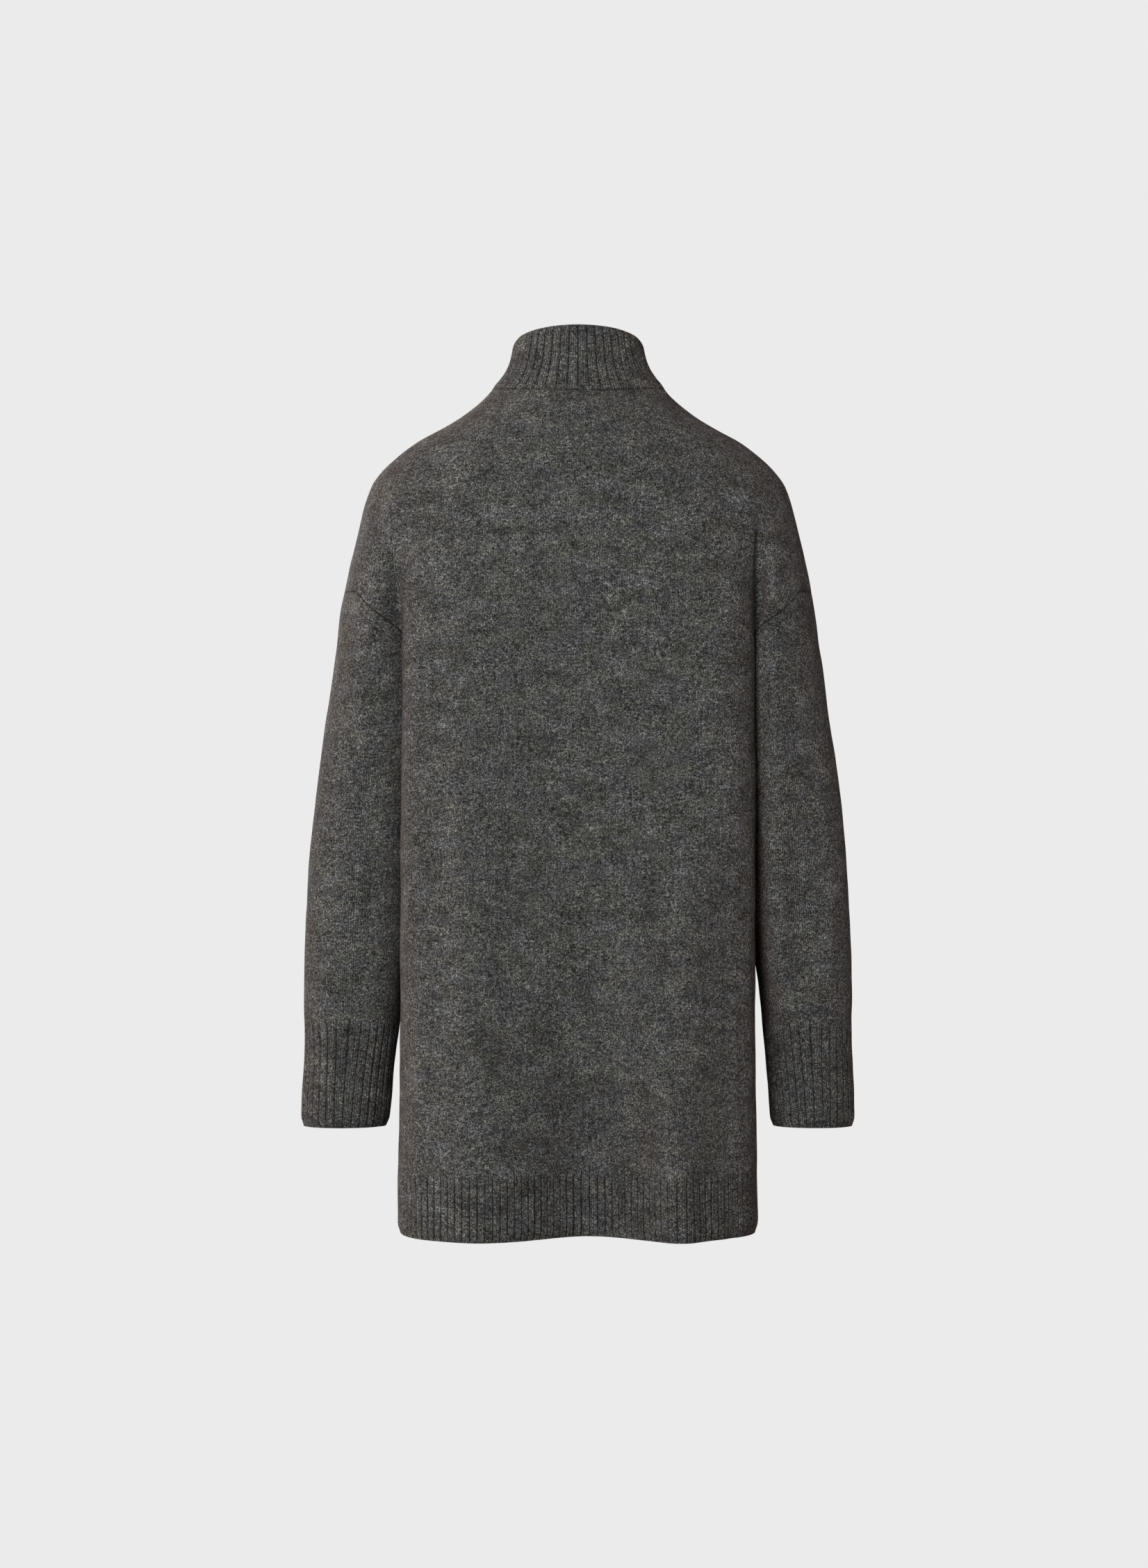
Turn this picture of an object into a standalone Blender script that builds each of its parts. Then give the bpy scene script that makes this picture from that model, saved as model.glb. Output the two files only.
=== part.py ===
"""A knit dress: a hollow garment of wool knit that keeps the shape it hangs in when it is worn.

The front of the dress faces -Y and its back faces +Y. Its left side is at +X. The origin is the
middle of the neck opening, level with the foot of the collar. All lengths below are in millimetres.

Each panel is a wall of cloth on a grid of points: courses run across it and wales run up it. Below
the underarm a course follows half of the body's level section. Above it a course runs from the
middle of the panel over the arm to the armhole seam, and the top course is the neck and shoulder
seam. The sleeves are tubes that start on the armhole seam.
"""

import math

import bmesh
import bpy
import numpy as np

MILLIMETRE = 0.001
MERGE_DISTANCE = 1e-7
TINY = 1e-6
SHARPEST_SMOOTH = math.radians(50)
PLAIN_COLOUR = (0.072, 0.069, 0.065)
RIB_COLOUR = (0.066, 0.063, 0.06)
PLAIN_ROUGHNESS = 0.92
RIB_ROUGHNESS = 0.94

# Cloth
CLOTH = 2.6
RIB_CLOTH = 2.2
RIB_RISE = 1.2
SEAM_GAP = 0.3

# Heights above the origin
NECK_SIDE = -1.0
NECK_DIP = {"back": 7.0, "front": 36.0}
ARMHOLE_TOP = -202.0
CREASE_FOOT = -240.5
UNDERARM = -305.0
CUFF_TOP = -624.0
CUFF_BOTTOM = -732.5
HEM_TOP = -764.5
HEM_BOTTOM = -830.0

# The collar's rim lies in a plane that falls towards the front
RIM_MIDDLE = 48.0
RIM_SLOPE = 1 / 6

# Ribs of two wales each, counted round each edge
HEM_RIBS_PER_FACE = 75
CUFF_RIBS = 32
COLLAR_RIBS = 48
RIB_PROFILE = ((0.0, 0.0), (0.28, 1.0), (0.72, 1.0))

# Grid of a panel, and of a sleeve
COLUMN_SHARES = (
    0, 0.05, 0.1, 0.15, 0.2, 0.25, 0.3, 0.37, 0.45, 0.53, 0.6, 0.66, 0.72, 0.79, 0.89, 1
)
HALF_COLUMNS = len(COLUMN_SHARES) - 1
NECK_COLUMNS = 6
LOWER_COURSES = 13
ARMHOLE_COURSES = 12
SLEEVE_COURSES = 16
CUFF_COURSES = 2
COLLAR_COURSES = 4
COLLAR_CROWDING = 1.3
CURVE_POINTS = 360

# How far the body stands off a sleeve: least at the foot of the crease between them, and all of
# it this much lower
LEAST_CLEARANCE = 0.5
SLEEVE_CLEARANCE = 3.0
PARTING_DROP = 60.0

# Rounding of the body's edge beside a sleeve, and of the crease between body and arm, from its
# foot up to where it has opened into the shoulder. It fades out over this much of the outline
BODY_ROUNDING = 8.0
CREASE_ROUNDING = 5.0
SHOULDER_ROUNDING = 34.0
CREASE_OPENING = 120.0
OUTLINE_FADE = 40.0

# Folds fade out over this depth in front of and behind the side seams
FOLD_FADE = 60.0

# Courses that end between the arm and the body are nearly level: in the middle they lie this much
# higher. The bend of the shoulder line reaches down into them by this power of their height
LEVEL_RISE = 2.5
TOP_REACH = 1.7

SIDES = {"left": 1, "right": -1}
FACES = {"back": 1, "front": -1}


class Table:
    """Rows of sizes with named columns, read at any place between the rows as a smooth curve."""

    def __init__(self, columns, *rows):
        names = columns.split()
        ordered = np.array(sorted(rows), float)
        self.where = ordered[:, 0]
        self.columns = {name: ordered[:, i] for i, name in enumerate(names)}

    def at(self, column, where):
        """Cubic curve through the rows that never swings past them."""
        x, y = self.where, self.columns[column]
        step = np.diff(x)
        slope = np.diff(y) / step
        tangent = np.concatenate([slope[:1], np.zeros(len(x) - 2), slope[-1:]])
        rising = slope[:-1] * slope[1:] > 0
        mean = 2 * slope[:-1] * slope[1:] / np.where(rising, slope[:-1] + slope[1:], 1)
        tangent[1:-1] = np.where(rising, mean, 0)
        where = np.clip(where, x[0], x[-1])
        i = np.clip(np.searchsorted(x, where) - 1, 0, len(step) - 1)
        t = (where - x[i]) / step[i]
        return (
            y[i] * (1 + 2 * t) * (1 - t) ** 2
            + y[i + 1] * t**2 * (3 - 2 * t)
            + step[i] * t * (1 - t) * (tangent[i] * (1 - t) - tangent[i + 1] * t)
        )


# The outline from the back: the neck, the shoulder slope and the sleeve's outer side
OUTLINE = Table(
    "height half_width",
    (6, 81), (-1, 86.3), (-12, 96), (-20, 105.5), (-27, 114.5), (-41, 136.6), (-54.5, 161),
    (-68, 179.5), (-82, 194.6), (-96, 204.6), (-110, 210), (-123.5, 214), (-151, 220.5),
    (-179, 227), (-202, 231.5), (-220, 235), (-262, 240), (-317, 247.7), (-372, 256),
    (-427, 262.5), (-482, 267.4), (-537, 270.8), (-593, 272), (-648, 272.6), (-703, 275.7),
    (-732.5, 276.4),
)

# The body's level sections: back and front are depths from the side seam's plane
BODY = Table(
    "height half_width back front squareness",
    (6, 81, 62, 54, 2.1),
    (-8, 92, 68, 60, 2.1),
    (-27, 114.5, 80, 70, 2.1),
    (-60, 170, 92, 84, 2.2),
    (-96, 206, 100, 95, 2.3),
    (-127, 203, 103, 101, 2.7),
    (-165, 187, 106, 105, 3.6),
    (-202, 178, 107, 107, 4.8),
    (-240, 174, 107, 107, 6.0),
    (-330, 174, 105, 105, 6.0),
    (-450, 174, 104, 104, 6.0),
    (-560, 174.5, 108, 106, 5.4),
    (-700, 176, 120, 114, 4.4),
    (-830, 178, 132, 122, 3.7),
)

# The arm of the dress: inner sides are from the middle of the dress, and above the crease's foot
# they only shape the shoulder
ARM = Table(
    "height inner_left inner_right half_depth middle",
    (-60, 90, 90, 48, 0),
    (-96, 110, 110, 60, 0),
    (-127, 125, 125, 70, 0),
    (-165, 140, 140, 72, 0),
    (-202, 150, 150, 74, 0),
    (-240, 153, 153, 74, 0),
    (-275, 153, 153, 73, 0),
    (-305, 153.5, 153.5, 71, 0),
    (-340, 155, 156, 67, -1),
    (-430, 161, 163, 61, -4),
    (-520, 168, 171, 56, -9),
    (-565, 171.5, 176, 54, -11),
    (-620, 177, 183, 51, -14),
    (-675, 184, 188, 42, -17),
    (-732.5, 189.5, 192, 38, -20),
)

# The armhole seam on the arm: 0 degrees is its outer side and 180 its inner side. From the angle
# of the crease's foot inwards the seam lies between the arm and the body
CREASE_ANGLE = 120.0
ARMHOLE = Table(
    "angle height",
    (0, ARMHOLE_TOP), (50, -203), (64, -211), (93, -227), (CREASE_ANGLE, CREASE_FOOT),
    (135, -257), (150, -275), (165, -291), (180, UNDERARM),
)

# The collar from its seam, 0, to its rim, 1
COLLAR = Table(
    "rise half_width back front",
    (0, 86.3, 68, 75), (0.12, 82, 64, 66), (0.2, 78.5, 61.5, 62), (0.37, 72.5, 59.5, 59.5),
    (0.55, 68.6, 58.3, 59), (0.75, 66.2, 57.5, 60), (0.95, 64.6, 57.8, 61), (1, 63.6, 57.6, 60.6),
)

# Soft vertical folds: each starts at its top and is at its full depth at its foot. A ridge has a
# depth above 0 and a trough has one below 0
FOLD_COLUMNS = ("face", "across", "top", "foot", "spread", "depth")
FOLDS = (
    ("back", 98, -280, -520, 34, 6),
    ("back", -12, -480, -830, 54, -48),
    ("back", -96, -500, -700, 24, 6),
    ("back", -132, -480, -720, 14, -6),
    ("back", 20, -60, -330, 60, -4),
    ("front", 0, -50, -270, 95, 13),
    ("front", 78, -230, -700, 30, 9),
    ("front", 8, -300, -780, 38, -17),
    ("front", -84, -250, -720, 28, 11),
    ("front", 134, -430, -760, 14, -6),
)


def smooth_least(a, b, rounding):
    """The smaller of a and b, with the corner between them rounded."""
    share = np.clip(1 - np.abs(a - b) / rounding, 0, 1)
    return np.minimum(a, b) - rounding * share**2 / 4


def smooth_most(a, b, rounding):
    return -smooth_least(-a, -b, rounding)


def ease(share):
    share = np.clip(share, 0, 1)
    return share * share * (3 - 2 * share)


def fold_depth(across, height, face):
    """How far the folds of a face stand out, over a point of it."""
    total = 0.0
    for row in FOLDS:
        fold = dict(zip(FOLD_COLUMNS, row))
        if fold["face"] != face:
            continue
        grown = ease((fold["top"] - height) / (fold["top"] - fold["foot"]))
        total = total + fold["depth"] * grown * np.exp(-(((across - fold["across"]) / fold["spread"]) ** 2))
    return total


def arm_section(height, side):
    """The middle, half width and half depth of a sleeve's level section."""
    outer = OUTLINE.at("half_width", height)
    inner = ARM.at("inner_" + side, height)
    return (outer + inner) / 2, (outer - inner) / 2, ARM.at("half_depth", height)


def arm_point(angle, height, side):
    """A point on the sleeve's surface."""
    middle, half_width, half_depth = arm_section(height, side)
    turn = math.radians(angle)
    x = middle + half_width * math.cos(turn)
    y = ARM.at("middle", height) + half_depth * math.sin(turn)
    return np.array([SIDES[side] * x, y, height])


def shoulder_curve(height, face, side):
    """The section from the middle of a face over the arm to the outline, where cloth spans both."""
    reach = OUTLINE.at("half_width", height)
    half_width = min(BODY.at("half_width", height), reach)
    squareness = BODY.at("squareness", height)
    middle, arm_width, arm_depth = arm_section(height, side)
    x = reach * np.sin(np.linspace(0, math.pi / 2, CURVE_POINTS))
    over_body = np.clip(1 - (x / half_width) ** squareness, 0, None) ** (1 / squareness)
    over_arm = np.sqrt(np.clip(1 - ((x - middle) / arm_width) ** 2, 0, None))
    opened = ease((height - CREASE_FOOT) / CREASE_OPENING)
    rounding = CREASE_ROUNDING + (SHOULDER_ROUNDING - CREASE_ROUNDING) * opened
    rounding = rounding * ease((reach - x) / OUTLINE_FADE) + TINY
    depth = BODY.at(face, height)
    y = smooth_most(over_body * depth, over_arm * arm_depth, rounding)
    return folded(x, y, height, face, side)


def body_curve(height, face, side):
    """The section from the middle of a face to the side seam, pressed in where the sleeve lies."""
    squareness = BODY.at("squareness", height)
    turn = np.linspace(0, math.pi / 2, CURVE_POINTS)
    x = BODY.at("half_width", height) * np.sin(turn) ** (2 / squareness)
    y = BODY.at(face, height) * np.cos(turn) ** (2 / squareness)
    middle, arm_width, arm_depth = arm_section(height, side)
    parted = ease((CREASE_FOOT - height) / PARTING_DROP)
    clearance = LEAST_CLEARANCE + (SLEEVE_CLEARANCE - LEAST_CLEARANCE) * parted
    off_middle = FACES[face] * y - ARM.at("middle", height)
    nearness = np.sqrt(np.clip(1 - (off_middle / (arm_depth + clearance)) ** 2, 0, None))
    x = smooth_least(x, middle - (arm_width + clearance) * nearness, BODY_ROUNDING)
    return folded(np.maximum(x, 0), y, height, face, side)


def folded(x, y, height, face, side):
    """The curve's points with the face's folds, which fade out towards the sides."""
    fading = ease(np.abs(y) / FOLD_FADE)
    y = y + fading * fold_depth(SIDES[side] * x, height, face)
    return x, y


def lengths(curve):
    x, y = curve
    return np.concatenate([[0], np.cumsum(np.hypot(np.diff(x), np.diff(y)))])


def curve_at(height, face, side):
    over_arm = height >= CREASE_FOOT
    return (shoulder_curve if over_arm else body_curve)(height, face, side)


def panel_point(length, height, face, side):
    """The point of a face at a length from its middle, measured along the section at a height."""
    curve = curve_at(height, face, side)
    run = lengths(curve)
    x = np.interp(length, run, curve[0])
    y = np.interp(length, run, curve[1])
    return np.array([SIDES[side] * x, FACES[face] * y, height])


def neck_place(share, face, side):
    """(length, height) of the neck seam, from the middle of a face, 0, to the shoulder, 1."""
    turn = share * math.pi / 2
    height = NECK_SIDE - NECK_DIP[face] * math.cos(turn) ** 2
    x = OUTLINE.at("half_width", NECK_SIDE) * math.sin(turn)
    curve = curve_at(height, face, side)
    return np.interp(x, curve[0], lengths(curve)), height


def shoulder_place(share, face, side):
    """(length, height) of the shoulder seam, from the neck, 0, to the armhole, 1."""
    fine = np.linspace(NECK_SIDE, ARMHOLE_TOP, CURVE_POINTS)
    run = lengths((OUTLINE.at("half_width", fine), fine))
    height = np.interp(share * run[-1], run, fine)
    return lengths(curve_at(height, face, side))[-1], height


def top_place(share, face, side):
    """(length, height) of a panel's top edge, from its middle, 0, to the armhole, 1."""
    neck_share = COLUMN_SHARES[NECK_COLUMNS]
    if share <= neck_share:
        return neck_place(share / neck_share, face, side)
    return shoulder_place((share - neck_share) / (1 - neck_share), face, side)


def armhole_angles():
    """From the underarm over the back or the front of the arm to its outer side."""
    shares = np.linspace(0, 1, ARMHOLE_COURSES + 1)
    return 180 * (1 - shares)


def armhole_place(angle, face, side):
    """(length, height) of the armhole seam at an angle round the arm."""
    height = float(ARMHOLE.at("height", angle))
    point = arm_point(angle * FACES[face], height, side)
    curve = curve_at(height, face, side)
    run = lengths(curve)
    if height >= CREASE_FOOT:
        return np.interp(abs(point[0]), curve[0], run), height
    return np.interp(-abs(point[1]), -curve[1], run), height


def upper_places(face, side):
    """Places of the grid above the underarm, blended between its four edges."""
    across = np.array(COLUMN_SHARES)
    whole = lengths(curve_at(UNDERARM, face, side))[-1]
    low = np.array([(whole * share, UNDERARM) for share in across])
    top = np.array([top_place(share, face, side) for share in across])
    seam = np.array([armhole_place(angle, face, side) for angle in armhole_angles()])
    seam[0] = low[-1]
    seam[-1] = top[-1]
    hidden = [angle for angle in armhole_angles() if angle >= CREASE_ANGLE]
    level = [float(ARMHOLE.at("height", angle)) + LEVEL_RISE for angle in hidden]
    level[0] = UNDERARM
    above = np.linspace(level[-1], top[0][1], ARMHOLE_COURSES + 2 - len(level))
    heights = np.concatenate([level, above[1:]])
    middle = np.stack([0 * heights, heights], axis=1)
    u = across[None, :, None]
    v = (((heights - UNDERARM) / (top[0][1] - UNDERARM)) ** TOP_REACH)[:, None, None]
    bent = top - top[:1] - across[:, None] * (top[-1] - top[0])
    return (1 - u) * middle[:, None] + u * seam[:, None] + v * bent


def half_panel(face, side):
    """Outer points of half a panel: courses from the hem rib up, columns from the middle out."""
    rows = []
    for height in np.linspace(HEM_TOP, UNDERARM, LOWER_COURSES + 1)[:-1]:
        whole = lengths(curve_at(height, face, side))[-1]
        rows.append([panel_point(whole * share, height, face, side) for share in COLUMN_SHARES])
    for row in upper_places(face, side):
        rows.append([panel_point(length, height, face, side) for length, height in row])
    points = np.array(rows)
    for row, angle in zip(points[LOWER_COURSES:], armhole_angles()):
        row[-1] = armhole_point(angle * FACES[face], side)
    return points


def armhole_point(angle, side):
    """A point on the armhole seam, which the body's panels and the sleeve share."""
    return arm_point(angle, float(ARMHOLE.at("height", abs(angle))), side)


def panel(face):
    """Outer points of a whole panel, seen from outside: columns from left to right."""
    first, second = ("right", "left") if face == "front" else ("left", "right")
    return np.concatenate([half_panel(face, first)[:, :0:-1], half_panel(face, second)], axis=1)


def sleeve(side):
    """Outer points of a sleeve from the armhole seam, row 0, to its cuff."""
    back = armhole_angles()
    angles = np.concatenate([back, -back[-2::-1]])
    if side == "left":
        angles = angles[::-1]
    rows = []
    for share in np.linspace(0, 1, SLEEVE_COURSES + 1):
        row = []
        for angle in angles:
            start = float(ARMHOLE.at("height", abs(angle)))
            row.append(arm_point(angle, start + (CUFF_TOP - start) * share, side))
        rows.append(row)
    return np.array(rows)[::-1]


def rib_columns(ribs):
    """Share of the way round, and height from 0 to 1, of each outer column of a ribbed edge."""
    return [((rib + place) / ribs, rise) for rib in range(ribs) for place, rise in RIB_PROFILE]


def hem_point(share, height, face):
    """A point of a hem rib: share runs from one side seam, 0, to the other, 1."""
    first, second = ("right", "left") if face == "front" else ("left", "right")
    side = first if share < 0.5 else second
    curve = curve_at(height, face, side)
    run = lengths(curve)
    return panel_point(abs(2 * share - 1) * run[-1], height, face, side)


def cuff_point(share, height, side):
    """A point of a cuff: share runs once round it."""
    turn = share if side == "left" else -share
    return arm_point(360 * turn, height, side)


def collar_point(share, rise):
    """A point of the collar: share runs round from the middle of the back over the right side."""
    turn = 2 * math.pi * share
    face = "back" if math.cos(turn) >= 0 else "front"
    side = "right" if math.sin(turn) >= 0 else "left"
    from_middle = math.asin(min(1, abs(math.sin(turn)))) / (math.pi / 2)
    column = min(int(from_middle * NECK_COLUMNS), NECK_COLUMNS - 1)
    ends = [neck_place((column + step) / NECK_COLUMNS, face, side) for step in (0, 1)]
    first, second = [panel_point(*place, face, side) for place in ends]
    seam = first + (second - first) * (from_middle * NECK_COLUMNS - column)
    half_width, depth = COLLAR.at("half_width", rise), COLLAR.at(face, rise)
    x = -half_width * math.sin(turn)
    y = depth * math.cos(turn)
    foot_x = -COLLAR.at("half_width", 0) * math.sin(turn)
    foot_y = COLLAR.at(face, 0) * math.cos(turn)
    settle = (1 - rise) ** 3
    x += (seam[0] - foot_x) * settle
    y += (seam[1] - foot_y) * settle
    rim = RIM_MIDDLE + RIM_SLOPE * y
    return np.array([x, y, seam[2] + (rim - seam[2]) * rise])


def unit(vectors):
    return vectors / np.maximum(np.linalg.norm(vectors, axis=-1, keepdims=True), 1e-9)


def outward(points, closed):
    """Unit normals of a grid of points, whose columns run anticlockwise seen from above."""
    if closed:
        ring = np.concatenate([points[:, -2:-1], points, points[:, 1:2]], axis=1)
        along = ring[:, 2:] - ring[:, :-2]
    else:
        along = np.gradient(points, axis=1)
    up = np.gradient(points, axis=0)
    return unit(np.cross(along, up))


def share_normals(patches):
    """Gives points that two pieces share the same normal, so that their edges meet square."""
    sums = {}
    for patch in patches:
        for place, normal in zip(patch["points"].reshape(-1, 3), patch["normals"].reshape(-1, 3)):
            key = tuple(np.round(place, 1))
            sums[key] = sums.get(key, 0) + normal
    for patch in patches:
        flat = patch["normals"].reshape(-1, 3)
        for i, place in enumerate(patch["points"].reshape(-1, 3)):
            flat[i] = unit(sums[tuple(np.round(place, 1))])


def tilted(normals, rise):
    """The normals along an edge, turned to have this rise over their level part."""
    level = unit(normals * (1, 1, 0))
    return unit(level + np.array([0, 0, rise]))


def drawn_back(points, closed):
    """The grid with each free edge moved half a seam gap into the piece."""
    moved = points.copy()
    edges = [(moved[0], points[1]), (moved[-1], points[-2])]
    if not closed:
        edges += [(moved[:, 0], points[:, 1]), (moved[:, -1], points[:, -2])]
    for edge, inside in edges:
        edge += unit(inside - edge) * SEAM_GAP / 2
    return moved


def grid_faces(mesh, points, closed, turned_in):
    """Adds a grid of faces at these points, and returns its border edges."""
    courses, wales = points.shape[0] - 1, points.shape[1] - 1
    made = bmesh.ops.create_grid(mesh, x_segments=wales, y_segments=courses, size=1)["verts"]
    for vert, place in zip(made, points.reshape(-1, 3)):
        vert.co = place * MILLIMETRE
    faces = list({face for vert in made for face in vert.link_faces})
    if turned_in:
        bmesh.ops.reverse_faces(mesh, faces=faces)
    if closed:
        bmesh.ops.remove_doubles(mesh, verts=made, dist=MERGE_DISTANCE)
    return [edge for face in faces if face.is_valid for edge in face.edges if edge.is_boundary]


def lowest_and_highest(edges):
    """The two loops of border edges of a tube, lower first."""
    loops = []
    left = set(edges)
    while left:
        loop, ahead = [], [left.pop()]
        while ahead:
            edge = ahead.pop()
            loop.append(edge)
            near = [other for vert in edge.verts for other in vert.link_edges if other in left]
            left.difference_update(near)
            ahead += near
        loops.append(loop)
    return sorted(loops, key=lambda loop: np.mean([edge.verts[0].co.z for edge in loop]))


def cloth_wall(name, outer, inner, closed, finish):
    """A closed wall of cloth between its outer and its inner grid of points."""
    mesh = bmesh.new()
    outside = grid_faces(mesh, outer, closed, turned_in=False)
    inside = grid_faces(mesh, inner, closed, turned_in=True)
    if closed:
        for pair in zip(lowest_and_highest(outside), lowest_and_highest(inside)):
            bmesh.ops.bridge_loops(mesh, edges=pair[0] + pair[1])
    else:
        bmesh.ops.bridge_loops(mesh, edges=outside + inside)
    bmesh.ops.triangulate(mesh, faces=mesh.faces[:])
    bmesh.ops.recalc_face_normals(mesh, faces=mesh.faces[:])
    data = bpy.data.meshes.new(name)
    mesh.to_mesh(data)
    mesh.free()
    data.shade_smooth()
    data.set_sharp_from_angle(angle=SHARPEST_SMOOTH)
    data.materials.append(finish)
    piece = bpy.data.objects.new(name, data)
    bpy.context.scene.collection.objects.link(piece)
    return piece


def knit(name, colour, roughness):
    """Grey heather wool knit: soft, matt and slightly lighter where it is lit from the side."""
    finish = bpy.data.materials.new(name)
    finish.use_nodes = True
    shader = finish.node_tree.nodes["Principled BSDF"]
    shader.inputs["Base Color"].default_value = (*colour, 1)
    shader.inputs["Roughness"].default_value = roughness
    shader.inputs["Metallic"].default_value = 0
    finish.diffuse_color = (*colour, 1)
    return finish


def plain_pieces():
    """The back, the front and the sleeves, whose shared edges are worked out together."""
    patches = [{"name": face, "points": panel(face), "closed": False} for face in FACES]
    patches += [{"name": "sleeve_" + side, "points": sleeve(side), "closed": True} for side in SIDES]
    for patch in patches:
        patch["normals"] = outward(patch["points"], patch["closed"])
    share_normals(patches)
    for patch in patches:
        normals = patch["normals"]
        normals[0] = tilted(normals[0], 0)
        if not patch["closed"]:
            neck = slice(HALF_COLUMNS - NECK_COLUMNS, HALF_COLUMNS + NECK_COLUMNS + 1)
            normals[-1, neck] = tilted(normals[-1, neck], 0)
        outer = drawn_back(patch["points"], patch["closed"])
        inner = outer - normals * CLOTH
        finish = knit(patch["name"] + "_plain_knit", PLAIN_COLOUR, PLAIN_ROUGHNESS)
        cloth_wall(patch["name"], outer, inner, patch["closed"], finish)


def ribbed_piece(name, point, ribs, rises, closed, edge_rises):
    """A ribbed edge: ribs stand up on its outer points, and its inner points are plain."""
    columns = rib_columns(ribs) + [(1.0, 0.0)]
    plain = np.array([[point(rib / ribs, rise) for rib in range(ribs + 1)] for rise in rises])
    ribbed = np.array([[point(share, rise) for share, _ in columns] for rise in rises])
    walls = []
    for points in (ribbed, plain):
        normals = outward(points, closed)
        normals[0] = tilted(normals[0], edge_rises[0])
        normals[-1] = tilted(normals[-1], edge_rises[1])
        walls.append((drawn_back(points, closed), normals))
    raised = np.array([rise for _, rise in columns])[None, :, None]
    outer = walls[0][0] + walls[0][1] * (raised - 0.5) * RIB_RISE
    inner = walls[1][0] - walls[1][1] * RIB_CLOTH
    finish = knit(name + "_rib_knit", RIB_COLOUR, RIB_ROUGHNESS)
    cloth_wall(name, outer, inner, closed, finish)


def ribbed_pieces():
    """The collar, the cuffs and the two halves of the hem rib."""
    collar_rises = np.linspace(0, 1, COLLAR_COURSES + 1) ** COLLAR_CROWDING
    ribbed_piece("collar", collar_point, COLLAR_RIBS, collar_rises, True, (0, 0))
    for side in SIDES:
        heights = np.linspace(CUFF_BOTTOM, CUFF_TOP, CUFF_COURSES + 1)
        ribbed_piece(
            "cuff_" + side,
            lambda share, height, side=side: cuff_point(share, height, side),
            CUFF_RIBS, heights, True, (0, 0),
        )
    for face in FACES:
        ribbed_piece(
            "hem_rib_" + face,
            lambda share, height, face=face: hem_point(share, height, face),
            HEM_RIBS_PER_FACE, (HEM_BOTTOM, HEM_TOP), False, (0, 0),
        )


def main():
    for old in list(bpy.data.objects):
        bpy.data.objects.remove(old)
    plain_pieces()
    ribbed_pieces()


main()
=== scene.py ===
"""Looks of a knit dress: grey heather wool knit, hollow, hanging as it does when it is worn.

Each piece of cloth is a thin shell on the form of its solid, with finer folds and with its ribs
worked stitch by stitch across. The knit's wales and courses run along each piece's own UV map,
whose unit is one stitch. Lengths in the tables are in millimetres, and the meshes are in metres.
The back of the dress faces +Y, and its left side is at +X.
"""

import math
from functools import partial

import bmesh
import bpy
import numpy as np
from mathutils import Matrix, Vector, noise


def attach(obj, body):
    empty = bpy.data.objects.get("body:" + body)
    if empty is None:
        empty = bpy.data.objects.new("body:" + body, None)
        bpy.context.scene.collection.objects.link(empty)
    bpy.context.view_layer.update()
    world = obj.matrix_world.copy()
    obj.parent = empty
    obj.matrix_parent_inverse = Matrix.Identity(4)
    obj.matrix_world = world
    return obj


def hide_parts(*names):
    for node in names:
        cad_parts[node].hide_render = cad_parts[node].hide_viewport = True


bl_info = {
    "name": "Knit Dress",
    "version": (1, 0, 0),
    "blender": (4, 5, 0),
    "location": "3D View > Sidebar > Knit Dress",
    "description": "Builds a wool knit dress as worn, and the stage it is shown on",
    "category": "Object",
}

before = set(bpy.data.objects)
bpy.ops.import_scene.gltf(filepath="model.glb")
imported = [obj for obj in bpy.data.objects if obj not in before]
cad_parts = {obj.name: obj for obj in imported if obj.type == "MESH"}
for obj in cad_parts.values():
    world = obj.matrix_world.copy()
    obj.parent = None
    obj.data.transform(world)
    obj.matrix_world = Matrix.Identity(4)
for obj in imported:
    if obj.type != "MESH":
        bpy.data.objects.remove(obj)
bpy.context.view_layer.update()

MM = 0.001
TINY = 1e-6
SIDES = {"left": 1, "right": -1}
FACES = {"back": 1, "front": -1}

# Heights above the foot of the collar
NECK_SIDE = -1.0
NECK_DIP = {"back": 7.0, "front": 36.0}
ARMHOLE_TOP = -202.0
CREASE_FOOT = -240.5
UNDERARM = -305.0
CUFF_TOP = -624.0
CUFF_BOTTOM = -732.5
HEM_TOP = -764.5
HEM_BOTTOM = -830.0
RIM_MIDDLE = 48.0
RIM_SLOPE = 1 / 6

# Ribs of two wales each
HEM_RIBS_PER_FACE = 75
CUFF_RIBS = 32
COLLAR_RIBS = 48

# Fit of the body to the sleeves
LEAST_CLEARANCE = 0.5
SLEEVE_CLEARANCE = 3.0
PARTING_DROP = 60.0
BODY_ROUNDING = 8.0
CREASE_ROUNDING = 5.0
SHOULDER_ROUNDING = 34.0
CREASE_OPENING = 120.0
OUTLINE_FADE = 40.0
FOLD_FADE = 60.0
LEVEL_RISE = 2.5
TOP_REACH = 1.7

# Share of half a panel's top edge that is neck
NECK_SHARE = 0.3

# Column of the grid that follows the crease, its last share where the crease meets the armhole
# seam, and the part of the armhole over which it leaves the crease towards the shoulder
CREASE_SHARE = 0.76
CREASE_LAST = 0.95
CREASE_LETS_GO = 0.5

# Samples of a level section as it is worked out and as it is kept, and the step between heights
FINE_POINTS = 2400
CURVE_POINTS = 560
HEIGHT_STEP = 1.5

# Share of the outline's half width beyond which the crease is looked for, and how many heights
CREASE_FROM = 0.6
CREASE_SAMPLES = 60

# Grid of half a panel: even columns as far as the first share, crowded ones on both sides of the
# crease as far as the second, and even ones beside the seam
COARSE_TO, CREASE_TO = 0.6, 0.9
COARSE_STEPS, CREASE_STEPS, BEYOND_STEPS, SEAM_STEPS = 30, 30, 18, 10
CREASE_CROWDING, BEYOND_CROWDING = 1.6, 1.5

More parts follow.
